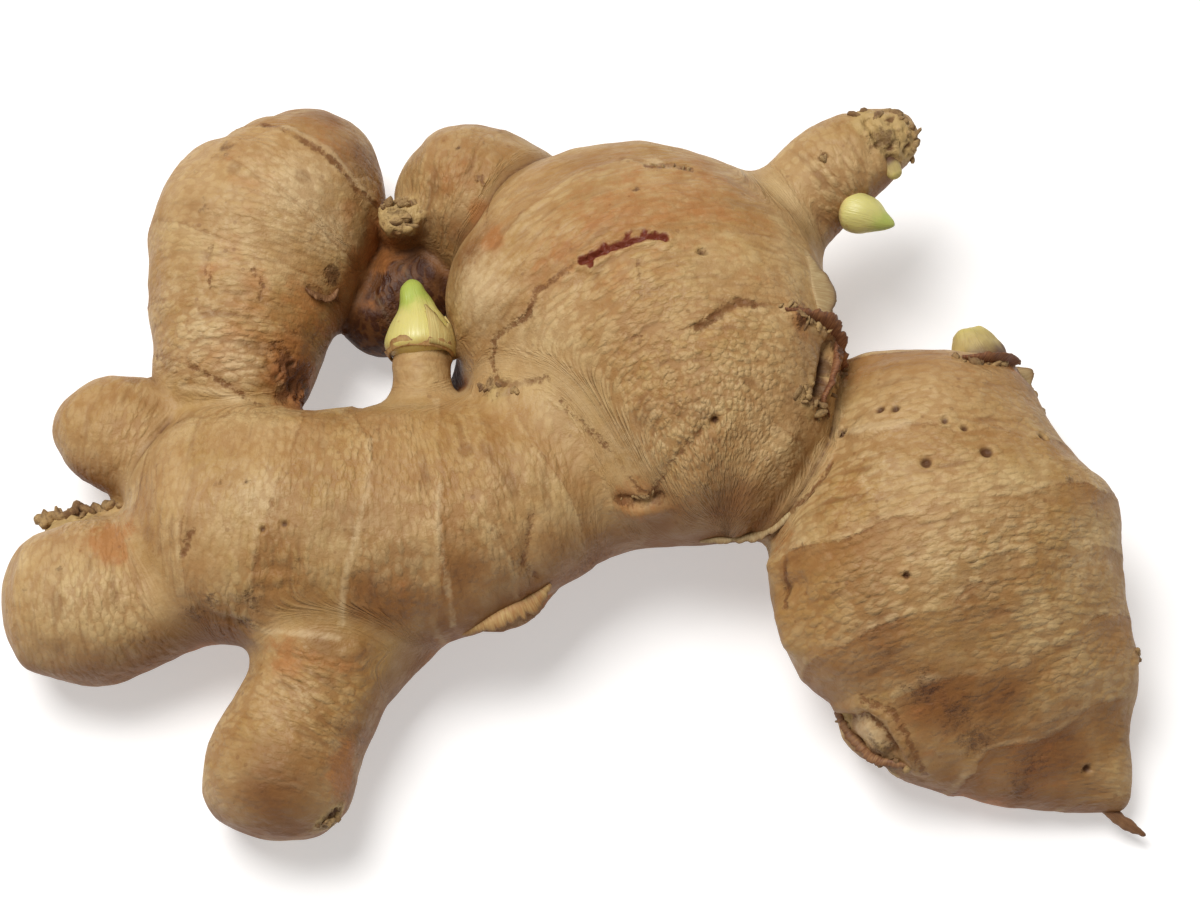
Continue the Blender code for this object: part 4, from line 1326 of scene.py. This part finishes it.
    depth = times(pebbles, step(wrinkled, 0.0, 1.0, 0.13, 0.42))
    depth = times(plus(depth, times(creases, step(wrinkled, 0.0, 1.0, 0.28, 0.6))), open_skin)
    depth = plus(depth, times(wiring.clouds(place, per_mm(0.6), 2.0, 0.65), 0.13))
    depth = minus(depth, times(plus(ring_line, traced), 0.1))
    depth = minus(depth, times(scab_and_shade, times(fine, 0.4)))
    wiring.lay_on(shader, colour, step(medium, 0.3, 0.7, 0.44, 0.6), depth, 1.0, 1.0)
    shader.inputs["Specular IOR Level"].default_value = 0.22
    return paint


MOTTLE, SPECKS, PEBBLES = mottle_group(), speck_group(), pebble_group()

skin, skin_points = grown_skin()
skin.data.materials.clear()
skin.data.materials.append(skin_paint())

# Buds.

BUD_GRID = {"around": 56, "along": 44}
BUDS = {
    "shoot_bud": {
        "blunt": (2.5, 1.5),
        "stations": [
            (-24.2, 17.8, 24.5, 4.2, 4.2), (-24.4, 20.3, 25, 5.55, 5.5), (-24.6, 23.2, 25.5, 4.9, 4.9),
            (-25, 26.2, 26, 3.15, 3.15), (-25.6, 28.8, 26.5, 2.1, 2.1), (-25.9, 31, 26.8, 1.35, 1.35),
        ],
    },
    "side_bud": {
        "blunt": (1.6, 0.6),
        "stations": [
            (43.3, 42.2, 29.3, 2.7, 2.7), (45.6, 41.4, 30, 3.35, 3.3), (47.9, 40.6, 30.3, 2.95, 2.9),
            (49.8, 39.6, 30.5, 1.75, 1.7), (51.8, 38.8, 30.6, 0.45, 0.45),
        ],
    },
    "tip_bud": {
        "blunt": (0.8, 0.6),
        "stations": [
            (50.6, 50, 32, 1.2, 1.2), (51.6, 48.2, 32.2, 1.45, 1.4), (52.4, 46.4, 32.3, 0.85, 0.8),
        ],
    },
    "dry_bud": {
        "blunt": (1.5, 1.5),
        "stations": [
            (66, 16.6, 22.3, 3.4, 3.4), (65.5, 18.6, 22.8, 4.6, 4), (64.7, 20.6, 23.2, 3.9, 3.5),
            (64, 22.6, 23.6, 3, 2.7), (63.6, 24, 23.8, 2.2, 2.1),
        ],
    },
}

# Each bud's node, how lumpy and how ribbed it is, its seed, its slot and its finish.
BUD_FINISHES = [
    ("shoot_bud", 0.12, 0.12, 31, "green_bud", "waxy"),
    ("side_bud", 0.08, 0.06, 32, "green_bud", "plump"),
    ("dry_bud", 0.35, 0.1, 36, "dry_bud", "dried"),
    ("tip_bud", 0.15, 0.1, 34, "dry_bud", "dried"),
]

# Each finish: the colours at the base, in the middle and at the tip, the shares of the bud's length where the
# base's colour ends and the tip's starts, and the roughness.
BUD_LOOKS = {
    "waxy": ((0.62, 0.47, 0.15, 1), (0.68, 0.60, 0.20, 1), (0.42, 0.50, 0.09, 1), 0.26, 0.5, 0.34),
    "plump": ((0.64, 0.50, 0.19, 1), (0.66, 0.60, 0.21, 1), (0.46, 0.52, 0.12, 1), 0.24, 0.55, 0.34),
    "dried": ((0.12, 0.055, 0.028, 1), (0.50, 0.38, 0.14, 1), (0.60, 0.50, 0.15, 1), 0.62, 0.7, 0.55),
}


def fine_bud(node, lumps, ribs, seed):
    """A bud in its CAD node's place, with the share of the way to its tip stored for its colours."""
    bud = BUDS[node]
    mesh = swelling_mesh(bud["stations"], bud["blunt"], grid=BUD_GRID)
    points, normals = mesh_points(mesh), mesh_normals(mesh)
    reading = lobe_reading(points, bud)
    share = np.clip(reading["along"] / spine_length(bud["stations"]), 0, 1)
    turn = np.arctan2(reading["above"], reading["aside"])
    rise = lumps * waves(points, 2.0, seed) * (0.3 + share)
    rise += ribs * np.cos(turn * 3 + share * 4.0) * share * (1 - share) * 2
    put_points(mesh, points + normals * rise[:, None])
    put_values(mesh, "tip", share, turn, reading["along"])
    mesh.shade_smooth()
    return new_object(node + "_flesh", mesh)


def bud_paint(name, base, middle, tip, base_end, tip_start, roughness):
    """A waxy bud, from its colour in the socket to its colour at the tip, with faint veins and specks."""
    paint, wiring, shader = new_paint(name)
    step, times, place = wiring.step, wiring.times, wiring.place()
    share, turn, _ = wiring.parts_of(wiring.stored("tip"))
    wavering = wiring.plus(share, wiring.swing(wiring.mottled(place, 3.0, 0.3), 0.16))
    across = wiring.add("ShaderNodeCombineXYZ", {0: times(share, 1.2), 1: times(turn, 4.0)}).outputs[0]
    veins = wiring.clouds(across, 3.0, 2.0, 0.5)
    colour = wiring.layered(
        base,
        (step(wavering, base_end * 0.4, base_end), middle),
        (step(wavering, tip_start, min(tip_start + 0.3, 1.0)), tip),
        (times(step(veins, 0.5, 0.8), 0.25), base),
        (times(wiring.specked(place, 1.1, 0.1), 0.3), SKIN_WARM),
    )
    wiring.lay_on(shader, colour, step(veins, 0.2, 0.9, roughness, roughness + 0.12), veins, 0.5, 0.25)
    shader.inputs["Subsurface Weight"].default_value = 0.12
    shader.inputs["Subsurface Radius"].default_value = (0.002, 0.002, 0.0005)
    return paint


def finished(piece, paint, replaced=None):
    """Gives a piece its material and its body, and hides the CAD node that it stands for."""
    piece.data.materials.clear()
    piece.data.materials.append(paint)
    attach(piece, "root")
    if replaced:
        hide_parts(replaced)
    return piece


def add_buds():
    """The four buds."""
    finishes = {name: bud_paint(name + "_bud", *look) for name, look in BUD_LOOKS.items()}
    for node, lumps, ribs, seed, slot, finish in BUD_FINISHES:
        finished(fine_bud(node, lumps, ribs, seed), finishes[finish], node)


# Torn scales.

# Each papery scale: its name, its finish, how far it curls up, how torn it is, the pixels or places along
# its root, and how far its free edge reaches from each, in millimetres.
SCALES = [
    ("heart_edge_scale", "pale", 0.3, 0.12,
     [(806, 258), (811, 275), (816, 295), (821, 318)],
     [(1.8, 1, -0.8), (3.2, 0.3, -1.8), (3.4, 0, -2), (2.2, -1, -1)]),
    ("crevice_scale", "red", 0.9, 0.45,
     [(786, 312), (803, 317), (822, 325), (838, 334), (848, 350), (842, 372)],
     [(-0.6, 1.2, 1), (0.6, 1.6, 1.2), (1.5, 2, 1.6), (2.4, 1.6, 1.8), (2.6, 0.6, 1.8), (1.6, -0.8, 1)]),
    ("crevice_lip", "red", 0.9, 0.5,
     [(834, 344), (833, 362), (829, 382), (822, 402), (828, 416)],
     [(1, 0.6, 1.4), (1.4, 0.2, 1.6), (1.2, 0, 1.4), (0.8, -0.6, 1.4), (1, -1.2, 1)]),
    ("dry_bud_scale", "red", 0.5, 0.25,
     [(962, 358), (980, 360), (998, 362), (1014, 366), (1026, 370)],
     [(0, 0.8, 0.6), (0.6, 1.2, 1.2), (1.6, 1.2, 1.2), (2.8, 0.5, 0.8), (2.4, 0, 0)]),
    ("shoulder_tongue", "pale", 0.1, 0.15,
     [(65.5, 16.5, 22.4), (68.5, 16.9, 22), (71.4, 16.2, 21.6), (73.2, 14.8, 21)],
     [(0.8, 0.6, 0), (2.2, 1.2, -0.2), (3.6, 1.2, -0.4), (1.6, 0.8, -0.2)]),
    ("shoulder_edge_scale", "pale", 0.1, 0.7,
     [(72.4, 15.8, 21), (73.2, 14, 21), (74.3, 12, 21), (75.6, 10, 21)],
     [(0.9, 0.5, 0), (1.5, 0.6, 0), (1.2, 0.4, 0), (0.8, 0.2, 0)]),
    ("tall_finger_scale", "brown", 0.4, 0.5,
     [(306, 289), (318, 295), (330, 297), (338, 290)],
     [(-0.2, -0.8, 0.5), (0, -1.4, 0.8), (0.4, -1.4, 0.8), (0.8, -0.6, 0.4)]),
    ("trunk_scale", "warm", 0.5, 0.5,
     [(462, 634), (490, 618), (515, 604), (535, 594), (550, 584)],
     [(0.2, -1, -0.4), (0.8, -2.4, -0.8), (1.2, -3, -1), (1.6, -2.4, -1), (1.2, -0.8, -0.4)]),
    ("shoulder_scale", "brown", 0.8, 0.5,
     [(834, 704), (846, 720), (864, 742), (886, 758), (910, 766)],
     [(-0.9, 0.2, 0.8), (-1.8, -0.8, 1), (-1.8, -1.6, 1), (-1.2, -1.8, 0.6), (0, -1.2, 0.4)]),
    ("heart_front_scale", "pale", 0.4, 0.5,
     [(700, 541), (722, 543), (742, 541), (766, 530), (790, 513)],
     [(0, -0.8, 0), (0, -1.6, 0.2), (0.4, -1.8, 0.2), (0.8, -1.6, 0.2), (0.8, -1, 0)]),
]
SCALE_GRID = (70, 8)
SCALE_THICKNESS = 0.28
SCALE_SINK = 0.5
SCALE_SEED, CUFF_SEED, SEED_STEP = 60, 51, 7


def even_path(points, count):
    """Points spaced evenly along a path."""
    points = np.asarray(points, float)
    keys = np.concatenate([[0], np.cumsum(np.linalg.norm(np.diff(points[:, :3], axis=0), axis=1))])
    return eased(keys, points, np.linspace(0, keys[-1], count))


def sheet_mesh(name, rows, closed=False):
    """A thin sheet through rows of points, with how far along and across each point is stored for its
    fibres."""
    rows = np.asarray(rows)
    across, along = rows.shape[:2]
    bm = bmesh.new()
    made = [[bm.verts.new(place) for place in row] for row in to_row(rows)]
    last = along if closed else along - 1
    for i in range(across - 1):
        for j in range(last):
            k = (j + 1) % along
            bm.faces.new((made[i][j], made[i][k], made[i + 1][k], made[i + 1][j]))
    bmesh.ops.recalc_face_normals(bm, faces=bm.faces)
    mesh = bpy.data.meshes.new(name)
    bm.to_mesh(mesh)
    bm.free()
    share = np.linspace(0, 1, across)[:, None].repeat(along, 1).ravel()
    run = np.linspace(0, 1, along)[None].repeat(across, 0).ravel()
    put_values(mesh, "fibre", share, run, np.zeros(len(share)))
    obj = new_object(name, mesh)
    thicken = obj.modifiers.new("thicken", "SOLIDIFY")
    thicken.thickness = SCALE_THICKNESS * MM
    thicken.offset = 0
    made_plain(obj)
    obj.data.shade_smooth()
    return obj


def torn_scale(scale, tree, seed):
    """A papery scale rooted on the skin, with a torn free edge, and its finish."""
    name, finish, curl, torn, root, reach = scale
    root = seen_path(tree, root)
    reach = np.array(reach, float)[: len(root)]
    both = even_path(np.hstack([root, reach]), SCALE_GRID[0])
    root, reach = both[:, :3], both[:, 3:]
    length = np.linalg.norm(reach, axis=1)[:, None]
    tear = 1 - torn * np.abs(waves(root, 1.9, seed)) - 0.5 * torn * np.abs(waves(root, 0.8, seed + 1))
    ends = np.sin(np.linspace(0.12, math.pi - 0.12, SCALE_GRID[0]))[:, None] ** 0.5
    reach = reach * np.clip(tear, 0.2, 1.2)[:, None] * ends
    sunk = root - reach / np.maximum(length, 0.1) * SCALE_SINK
    rows = []
    for share in np.linspace(0, 1, SCALE_GRID[1]):
        row = sunk + (reach + root - sunk) * share
        row = row + np.array([0, 0, 1]) * curl * math.sin(share * math.pi)
        rows.append(row + 0.22 * share * np.column_stack([waves(row, 1.8, seed + k) for k in (2, 3, 4)]))
    return sheet_mesh(name, rows), finish


def scale_paint(name, light, dark, frayed=0.5):
    """Dry papery scale: fibres that run out from its root, darker and frayed at the free edge."""
    paint, wiring, shader = new_paint(name)
    step, times = wiring.step, wiring.times
    share, run, _ = wiring.parts_of(wiring.stored("fibre"))
    lines = wiring.add("ShaderNodeCombineXYZ", {0: times(share, 0.6), 1: times(run, 30.0)}).outputs[0]
    fibres = wiring.clouds(lines, 1.6, 3.0, 0.6)
    colour = wiring.layered(
        dark,
        (step(fibres, 0.3, 0.7), light),
        (times(wiring.mottled(wiring.place(), 1.8, 0.2), 0.45), dark),
        (times(step(share, 0.6, 1.0), frayed), SKIN_BROWN),
    )
    wiring.lay_on(shader, colour, step(fibres, 0.2, 0.8, 0.5, 0.75), fibres, 0.8, 0.2)
    return paint


# The torn sheaths round the foot of the shoot bud: the part of the turn that each covers, in degrees from
# its right side, and its radius at each distance along the bud.
CUFFS = [
    {
        "name": "bud_cuff",
        "turn": (0, 360),
        "profile": [(18.5, 5.0), (19.5, 5.65), (20.8, 5.75), (22.2, 5.45)],
        "tear": (0.3, 0.6),
        "finish": "warm",
    },
    {
        "name": "bud_leaf",
        "turn": (-75, 72),
        "profile": [(18.8, 5.5), (20.6, 5.85), (23.4, 5.2), (25.2, 4.2)],
        "tear": (0.85, 0.35),
        "finish": "leaf",
    },
]
CUFF_FOOT = (-24.2, 17.8, 24.5)
CUFF_WAY = (-0.07, 1.0, 0.18)
CUFF_GRID = (96, 8)


def bud_cuff(cuff, seed):
    """A torn sheath that lies close round the foot of the shoot bud."""
    closed = cuff["turn"][1] - cuff["turn"][0] == 360
    turn = np.radians(np.linspace(*cuff["turn"], CUFF_GRID[0], endpoint=not closed))
    ring = np.column_stack([np.cos(turn), np.zeros_like(turn), np.sin(turn)])
    least, torn = cuff["tear"]
    tear = least + torn * waves(ring * 5, 3.1, seed) + 0.4 * torn * waves(ring * 5, 1.0, seed + 1)
    tear = np.clip(tear, 0.16, 1.1)
    keys, radii = np.array(cuff["profile"], float).T
    rows = []
    for share in np.linspace(0, 1, CUFF_GRID[1]):
        at = keys[0] + (keys[-1] - keys[0]) * share * tear
        radius = np.interp(at, keys, radii)[:, None]
        row = np.array(CUFF_FOOT) + np.outer(at - CUFF_FOOT[1], CUFF_WAY) + ring * radius
        rows.append(row + 0.14 * share * np.column_stack([waves(row, 1.4, seed + 2 + k) for k in range(3)]))
    return sheet_mesh(cuff["name"], rows, closed)


def add_scales(tree):
    """The papery scales and the bud's sheaths."""
    finishes = {
        "pale": scale_paint("pale_scale", (0.56, 0.43, 0.22, 1.0), (0.38, 0.24, 0.10, 1.0)),
        "leaf": scale_paint("bud_leaf", (0.66, 0.56, 0.22, 1.0), (0.58, 0.42, 0.14, 1.0), 0.2),
        "red": scale_paint("red_scale", (0.36, 0.16, 0.06, 1.0), (0.12, 0.032, 0.012, 1.0)),
        "brown": scale_paint("brown_scale", (0.38, 0.20, 0.08, 1.0), (0.15, 0.055, 0.02, 1.0)),
        "warm": scale_paint("warm_scale", (0.58, 0.40, 0.16, 1.0), (0.40, 0.19, 0.06, 1.0)),
    }
    for i, scale in enumerate(SCALES):
        piece, finish = torn_scale(scale, tree, SCALE_SEED + SEED_STEP * i)
        finished(piece, finishes[finish])
    for i, cuff in enumerate(CUFFS):
        sheath = bud_cuff(cuff, CUFF_SEED + SEED_STEP * i)
        finished(sheath, finishes[cuff["finish"]])
    return finishes["brown"]


# Crust.

# Rough crumbs along lines on the skin: how many, their size, how far they stray, how long they are drawn
# out, and the pixels or places of the line.
CRUSTS = [
    (22, 1.3, 1.3, 1.6, [(-88, -3, 9.5), (-83, -2.6, 10.5), (-78, -2.4, 10)]),
    (8, 1, 0.8, 1.6, [(-76, -3, 10.5), (-71.5, -3, 12)]),
    (14, 0.9, 1.2, 1.8, [(860, 116), (885, 116), (912, 136), (910, 156)]),
    (12, 0.8, 1.4, 1.8, [(388, 205), (400, 200), (412, 212), (404, 226)]),
    (16, 0.7, 1.2, 2.2, [(786, 312), (806, 318), (826, 328), (846, 344)]),
    (10, 0.7, 1, 2.2, [(848, 350), (842, 370), (832, 390)]),
    (14, 0.8, 1.2, 2, [(798, 392), (808, 402), (822, 408), (822, 418)]),
    (16, 0.8, 0.9, 1.8, [(960, 358), (980, 360), (1004, 364)]),
    (9, 0.6, 0.5, 2, [(1030, 384), (1040, 398), (1044, 412)]),
    (16, 0.8, 1.1, 1.9, [(846, 722), (866, 748), (890, 762), (912, 766)]),
    (8, 0.8, 0.8, 1.6, [(322, 822), (336, 815)]), (9, 0.9, 0.6, 1.6, [(850, 240), (862, 244)]),
    (9, 0.6, 0.9, 2, [(484, 386), (500, 392), (512, 390)]), (5, 0.7, 0.4, 1.4, [(1134, 652), (1137, 658)]),
    (5, 0.7, 0.4, 1.4, [(1136, 697), (1138, 703)]), (3, 0.6, 0.3, 1.4, [(820, 159), (826, 158)]),
    (6, 0.45, 0.4, 2, [(650, 164), (688, 170)]), (6, 0.5, 0.5, 2, [(624, 500), (656, 498)]),
    (5, 0.5, 0.5, 1.4, [(838, 434), (848, 430)]), (5, 0.6, 0.5, 2.2, [(546, 150), (560, 152)]),
]
CRUST_STEPS = 24
CRUST_SEED_STEP = 5
ROOTLET_GRID = {"around": 20, "along": 40}
ROOTLET_BLUNT = (1, 1)


def crumb_tree():
    """Geometry nodes that set rough crumbs on the skin along a path."""
    tree = bpy.data.node_groups.new("crumbs_along_path", "GeometryNodeTree")
    wiring = Wiring(tree)
    kinds = {"Path": "Geometry", "Skin": "Object", "Count": "Int", "Size": "Float", "Spread": "Float"}
    kinds.update({"Stretch": "Float", "Seed": "Int", "Finish": "Material"})
    for name, kind in kinds.items():
        tree.interface.new_socket(name, in_out="INPUT", socket_type="NodeSocket" + kind)
    tree.interface.new_socket("Crumbs", in_out="OUTPUT", socket_type="NodeSocketGeometry")
    given = tree.nodes.new("NodeGroupInput").outputs

    def seeded(offset):
        """The seed moved on by a whole number."""
        if not offset:
            return given["Seed"]
        inputs = {0: given["Seed"], 1: offset}
        return wiring.add("FunctionNodeIntegerMath", inputs, operation="ADD").outputs[0]

    def chance(least, most, offset):
        """A random vector for each crumb."""
        inputs = {0: least, 1: most, "Seed": seeded(offset)}
        return wiring.add("FunctionNodeRandomValue", inputs, data_type="FLOAT_VECTOR").outputs[0]

    def moved(geometry, kind, way):
        """The geometry with its points moved by an offset or to a position."""
        return wiring.add("GeometryNodeSetPosition", {"Geometry": geometry, kind: way}).outputs[0]

    curve = wiring.add("GeometryNodeMeshToCurve", {"Mesh": given["Path"]}).outputs[0]
    along = {"Curve": curve, "Count": given["Count"]}
    spots = wiring.add("GeometryNodeCurveToPoints", along, mode="COUNT").outputs["Points"]
    stray = wiring.vector("SCALE", chance((-1.0, -1.0, -1.0), (1.0, 1.0, 1.0), 0), given["Spread"])
    spots = moved(spots, "Offset", stray)
    skin_object = wiring.add("GeometryNodeObjectInfo", {"Object": given["Skin"]}, transform_space="RELATIVE")
    faces = {0: skin_object.outputs["Geometry"]}
    nearest = wiring.add("GeometryNodeProximity", faces, target_element="FACES").outputs["Position"]
    spots = moved(spots, "Position", nearest)
    crumb = wiring.add("GeometryNodeMeshUVSphere", {"Segments": 8, "Rings": 5, "Radius": 1.0}).outputs["Mesh"]
    spin = chance((0.0, 0.0, 0.0), (6.28, 6.28, 6.28), 1)
    long = wiring.add("ShaderNodeCombineXYZ", {0: 1.1, 1: 0.9, 2: given["Stretch"]}).outputs[0]
    size = wiring.vector("SCALE", chance((0.35, 0.35, 0.35), long, 2), given["Size"])
    placed = {"Points": spots, "Instance": crumb, "Rotation": spin, "Scale": size}
    crumbs = wiring.add("GeometryNodeInstanceOnPoints", placed).outputs[0]
    crumbs = wiring.add("GeometryNodeRealizeInstances", {0: crumbs}).outputs[0]
    bumpy = wiring.add("ShaderNodeTexNoise", {"Scale": per_mm(0.8), "Detail": 2.0}).outputs["Color"]
    push = wiring.vector("SCALE", wiring.vector("SUBTRACT", bumpy, (0.5, 0.5, 0.5)), given["Size"])
    crumbs = moved(crumbs, "Offset", push)
    crumbs = wiring.add("GeometryNodeSetMaterial", {0: crumbs, "Material": given["Finish"]}).outputs[0]
    wiring.add("NodeGroupOutput", {0: crumbs})
    return tree


def path_object(name, places):
    """An object that is one line of edges."""
    mesh = bpy.data.meshes.new(name)
    edges = [(i, i + 1) for i in range(len(places) - 1)]
    mesh.from_pydata([tuple(place) for place in to_row(places)], edges, [])
    return new_object(name, mesh)


def joined(name, objects):
    """One object that holds the meshes of the others."""
    bm = bmesh.new()
    for obj in objects:
        bm.from_mesh(obj.data)
        bpy.data.objects.remove(obj)
    mesh = bpy.data.meshes.new(name)
    bm.to_mesh(mesh)
    bm.free()
    return new_object(name, mesh)


def crust_paint():
    """Crust: crumbs from dark brown to pale tan, rough and dull, with painted shade in its hollows."""
    paint, wiring, shader = new_paint("crust")
    place = wiring.place()
    grit = wiring.clouds(place, per_mm(0.5), 4.0, 0.7)
    # Painted shade where the grit's relief is lowest.
    hollow_shade = wiring.times(wiring.step(grit, 0.3, 0.55, 1.0, 0.0), 0.5)
    colour = wiring.layered(CRUST_DARK, (wiring.mottled(place, 4.0, 0.14), CRUST_BROWN), (hollow_shade, SCAR_AND_SHADE_DARK))
    wiring.lay_on(shader, colour, wiring.step(grit, 0.3, 0.7, 0.75, 0.95), grit, 0.8, 0.3)
    return paint


def add_crust(skin, tree):
    """Every line of crust, as one piece."""
    crumbs, paint = crumb_tree(), crust_paint()
    sockets = {item.name: item.identifier for item in crumbs.interface.items_tree if item.in_out == "INPUT"}
    lines = []
    for i, (count, size, spread, stretch, pixels) in enumerate(CRUSTS):
        path = seen_path(tree, pixels)
        if len(path) < 2:
            continue
        line = path_object("crust_line", even_path(path, CRUST_STEPS) if len(path) > 2 else path)
        grow = line.modifiers.new("crumbs", "NODES")
        grow.node_group = crumbs
        values = {"Skin": skin, "Count": count, "Size": size * MM, "Spread": spread * MM}
        values.update({"Stretch": stretch, "Seed": i * CRUST_SEED_STEP, "Finish": paint})
        for name, value in values.items():
            grow[sockets[name]] = value
        made_plain(line)
        lines.append(line)
    crust = joined("crust", lines)
    crust.data.shade_smooth()
    return finished(crust, paint)


def add_rootlet(paint):
    """The last rootlet, at the shoulder's tip."""
    mesh = swelling_mesh(ROOTLET, ROOTLET_BLUNT, grid=ROOTLET_GRID)
    points, normals = mesh_points(mesh), mesh_normals(mesh)
    put_points(mesh, points + normals * (0.25 * waves(points, 1.1, 71))[:, None])
    reading = lobe_reading(points, {"stations": ROOTLET, "blunt": ROOTLET_BLUNT})
    put_values(mesh, "fibre", reading["along"] / spine_length(ROOTLET), reading["aside"], reading["above"])
    mesh.shade_smooth()
    return finished(new_object("rootlet", mesh), paint)


add_buds()
brown_scale = add_scales(skin_points)
add_crust(skin, skin_points)
add_rootlet(brown_scale)
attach(skin, "root")
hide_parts("rhizome")
